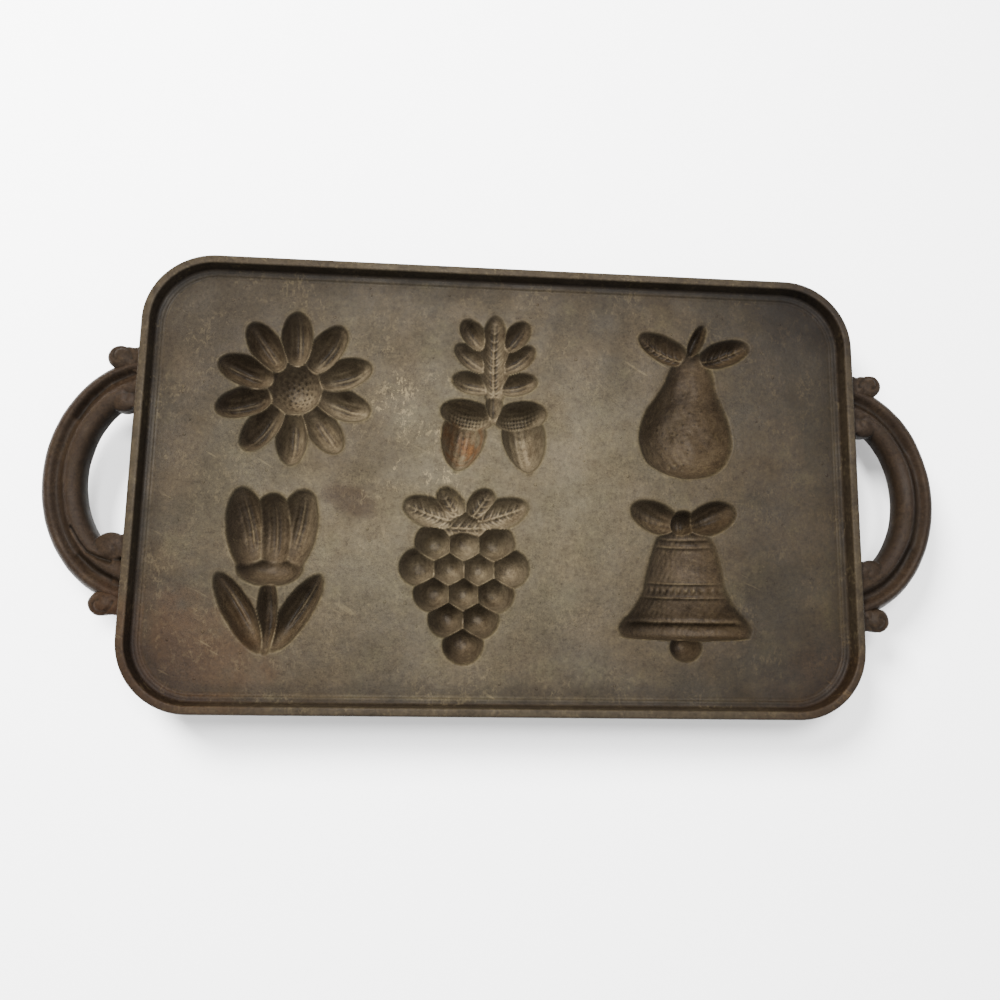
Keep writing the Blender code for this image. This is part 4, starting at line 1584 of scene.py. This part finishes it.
HANDLE_FINISH = {"walls": 0.45, "right_shade": (0.2, 0.2), "gloss": 0.56, "lip_wear_and_highlight": 0.5, "shine": 0.13}
deck_iron = iron("deck_iron", (THIN, THICK, THICK, SOOT_AND_SHADE), walls=0.45, right_shade=(0.78, 0.78),
                 gloss=0.60, lip_wear_and_highlight=0.5, shine=0.25)
mould_iron = iron("mould_iron", (THIN, THICK, tone(82, 72, 56), SOOT_AND_SHADE), walls=0.36,
                  right_shade=(0.78, 0.78), gloss=0.62, lip_wear_and_highlight=0.45, shine=0.22)
rim_iron = iron("rim_iron", (THIN, THICK, tone(65, 58, 43), SOOT_AND_SHADE), walls=0.55,
                right_shade=(0.78, 0.12), gloss=0.58, lip_wear_and_highlight=0.9, shine=0.20)
handle_iron = iron("handle_iron", (tone(32, 25, 17), tone(25, 18, 12), THICK, tone(14, 10, 6)),
                   **HANDLE_FINISH)
scroll_iron = iron("scroll_iron", (tone(33, 25, 17), tone(26, 19, 12), THICK, tone(14, 10, 6)),
                   **HANDLE_FINISH)

# %% [markdown]
# ## Joining the frame
#
# Each piece rides on the pan's one body and takes the place of its CAD node, apart from the
# pimples, which are extra. Before that, the moulds and the rim get their maps of ridges and
# creases, and the rim its map of hollows.


# %% Join every piece to the frame
def off_the_deck(piece):
    """0 where the rim runs on from the deck, and 1 on its wall, land and outer side."""
    points = points_of(piece)
    corner = np.abs(points[:, :2]) - (HALF_LENGTH - CORNER_RADIUS, HALF_WIDTH - CORNER_RADIUS)
    inside = CORNER_RADIUS - np.hypot(*np.maximum(corner, 0).T) - np.minimum(corner.max(1), 0)
    return np.maximum(ease((points[:, 2] - DECK_TOP - 0.7) / 2.0), ease((6.2 - inside) / 1.6))


def finish_piece(piece, material, nodes):
    piece.data.materials.clear()
    piece.data.materials.append(material)
    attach(piece, "root")
    if nodes:
        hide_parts(*nodes)
    triangles = sum(len(face.vertices) - 2 for face in piece.data.polygons)
    print(piece.name, triangles, "triangles")


for piece in mould_pieces + [rim_piece]:
    shape_maps(piece, 1.1, 2)
give_map(rim_piece, "hollow", off_the_deck(rim_piece))
for piece, mould in zip(mould_pieces, MOULDS):
    finish_piece(piece, mould_iron, [mould[0]])
finish_piece(rim_piece, rim_iron, ["rim"])
finish_piece(deck_piece, deck_iron, ["baking_deck"])
finish_piece(pimples, deck_iron, [])
for piece, node, slot in handle_pieces:
    finish_piece(piece, scroll_iron if slot == "scroll" else handle_iron, [node])

# %% [markdown]
# ## Floor, light and camera
#
# The photograph looks almost straight down on the pan against plain white, in soft light from the
# upper left. The camera is the one that a fit to the rim's outline gave.

# %% Floor and surroundings
bpy.ops.mesh.primitive_plane_add(size=30)
floor = bpy.context.object
floor.name = "floor"
floor.location.z = -0.0002
pale = bpy.data.materials.new("pale_floor")
pale.use_nodes = True
floor_shader = pale.node_tree.nodes["Principled BSDF"].inputs
floor_shader["Base Color"].default_value = (0.98, 0.98, 0.98, 1)
floor_shader["Roughness"].default_value = 0.9
floor_shader["Specular IOR Level"].default_value = 0.1
floor.data.materials.append(pale)

world = bpy.data.worlds.new("studio")
world.use_nodes = True
backdrop = world.node_tree.nodes["Background"].inputs
backdrop["Color"].default_value = (1, 1, 1, 1)
backdrop["Strength"].default_value = 1.5
bpy.context.scene.world = world


# %% Lights and camera
def soft_light(name, place, aim, size, power):
    lamp = bpy.data.lights.new(name, "AREA")
    lamp.shape = "DISK"
    lamp.size = size
    lamp.energy = power
    obj = placed(name, lamp)
    obj.location = place
    obj.rotation_euler = (Vector(aim) - Vector(place)).to_track_quat("-Z", "Y").to_euler()
    return obj


window = soft_light("window", (-0.50, 0.55, 0.80), (-0.02, 0, 0), 0.45, 62)
window.visible_glossy = False
soft_light("ceiling_lamp", (0.02, 0.20, 0.87), (-0.02, 0, 0), 0.28, 12)

camera = bpy.data.cameras.new("camera")
camera.sensor_width = 36
camera.lens = 30.83
camera.clip_start = 0.01
camera_object = placed("camera", camera)
right = Vector((0.99689, 0.01558, 0.07723))
up = Vector((-0.02724, 0.98796, 0.15227))
back = Vector((-0.07393, -0.15391, 0.98532))
turn = Matrix((right, up, back)).transposed().to_4x4()
camera_place = Vector((-28.01, -61.06, 373.76)) * MM
camera_object.matrix_world = Matrix.Translation(camera_place) @ turn
bpy.context.scene.camera = camera_object
print("camera at", camera_object.location)

# %% [markdown]
# ## Last update
#
# Last, the view layer is brought up to date. The visible pan may not be bigger than the CAD
# model.

# %% Last update
bpy.context.view_layer.update()
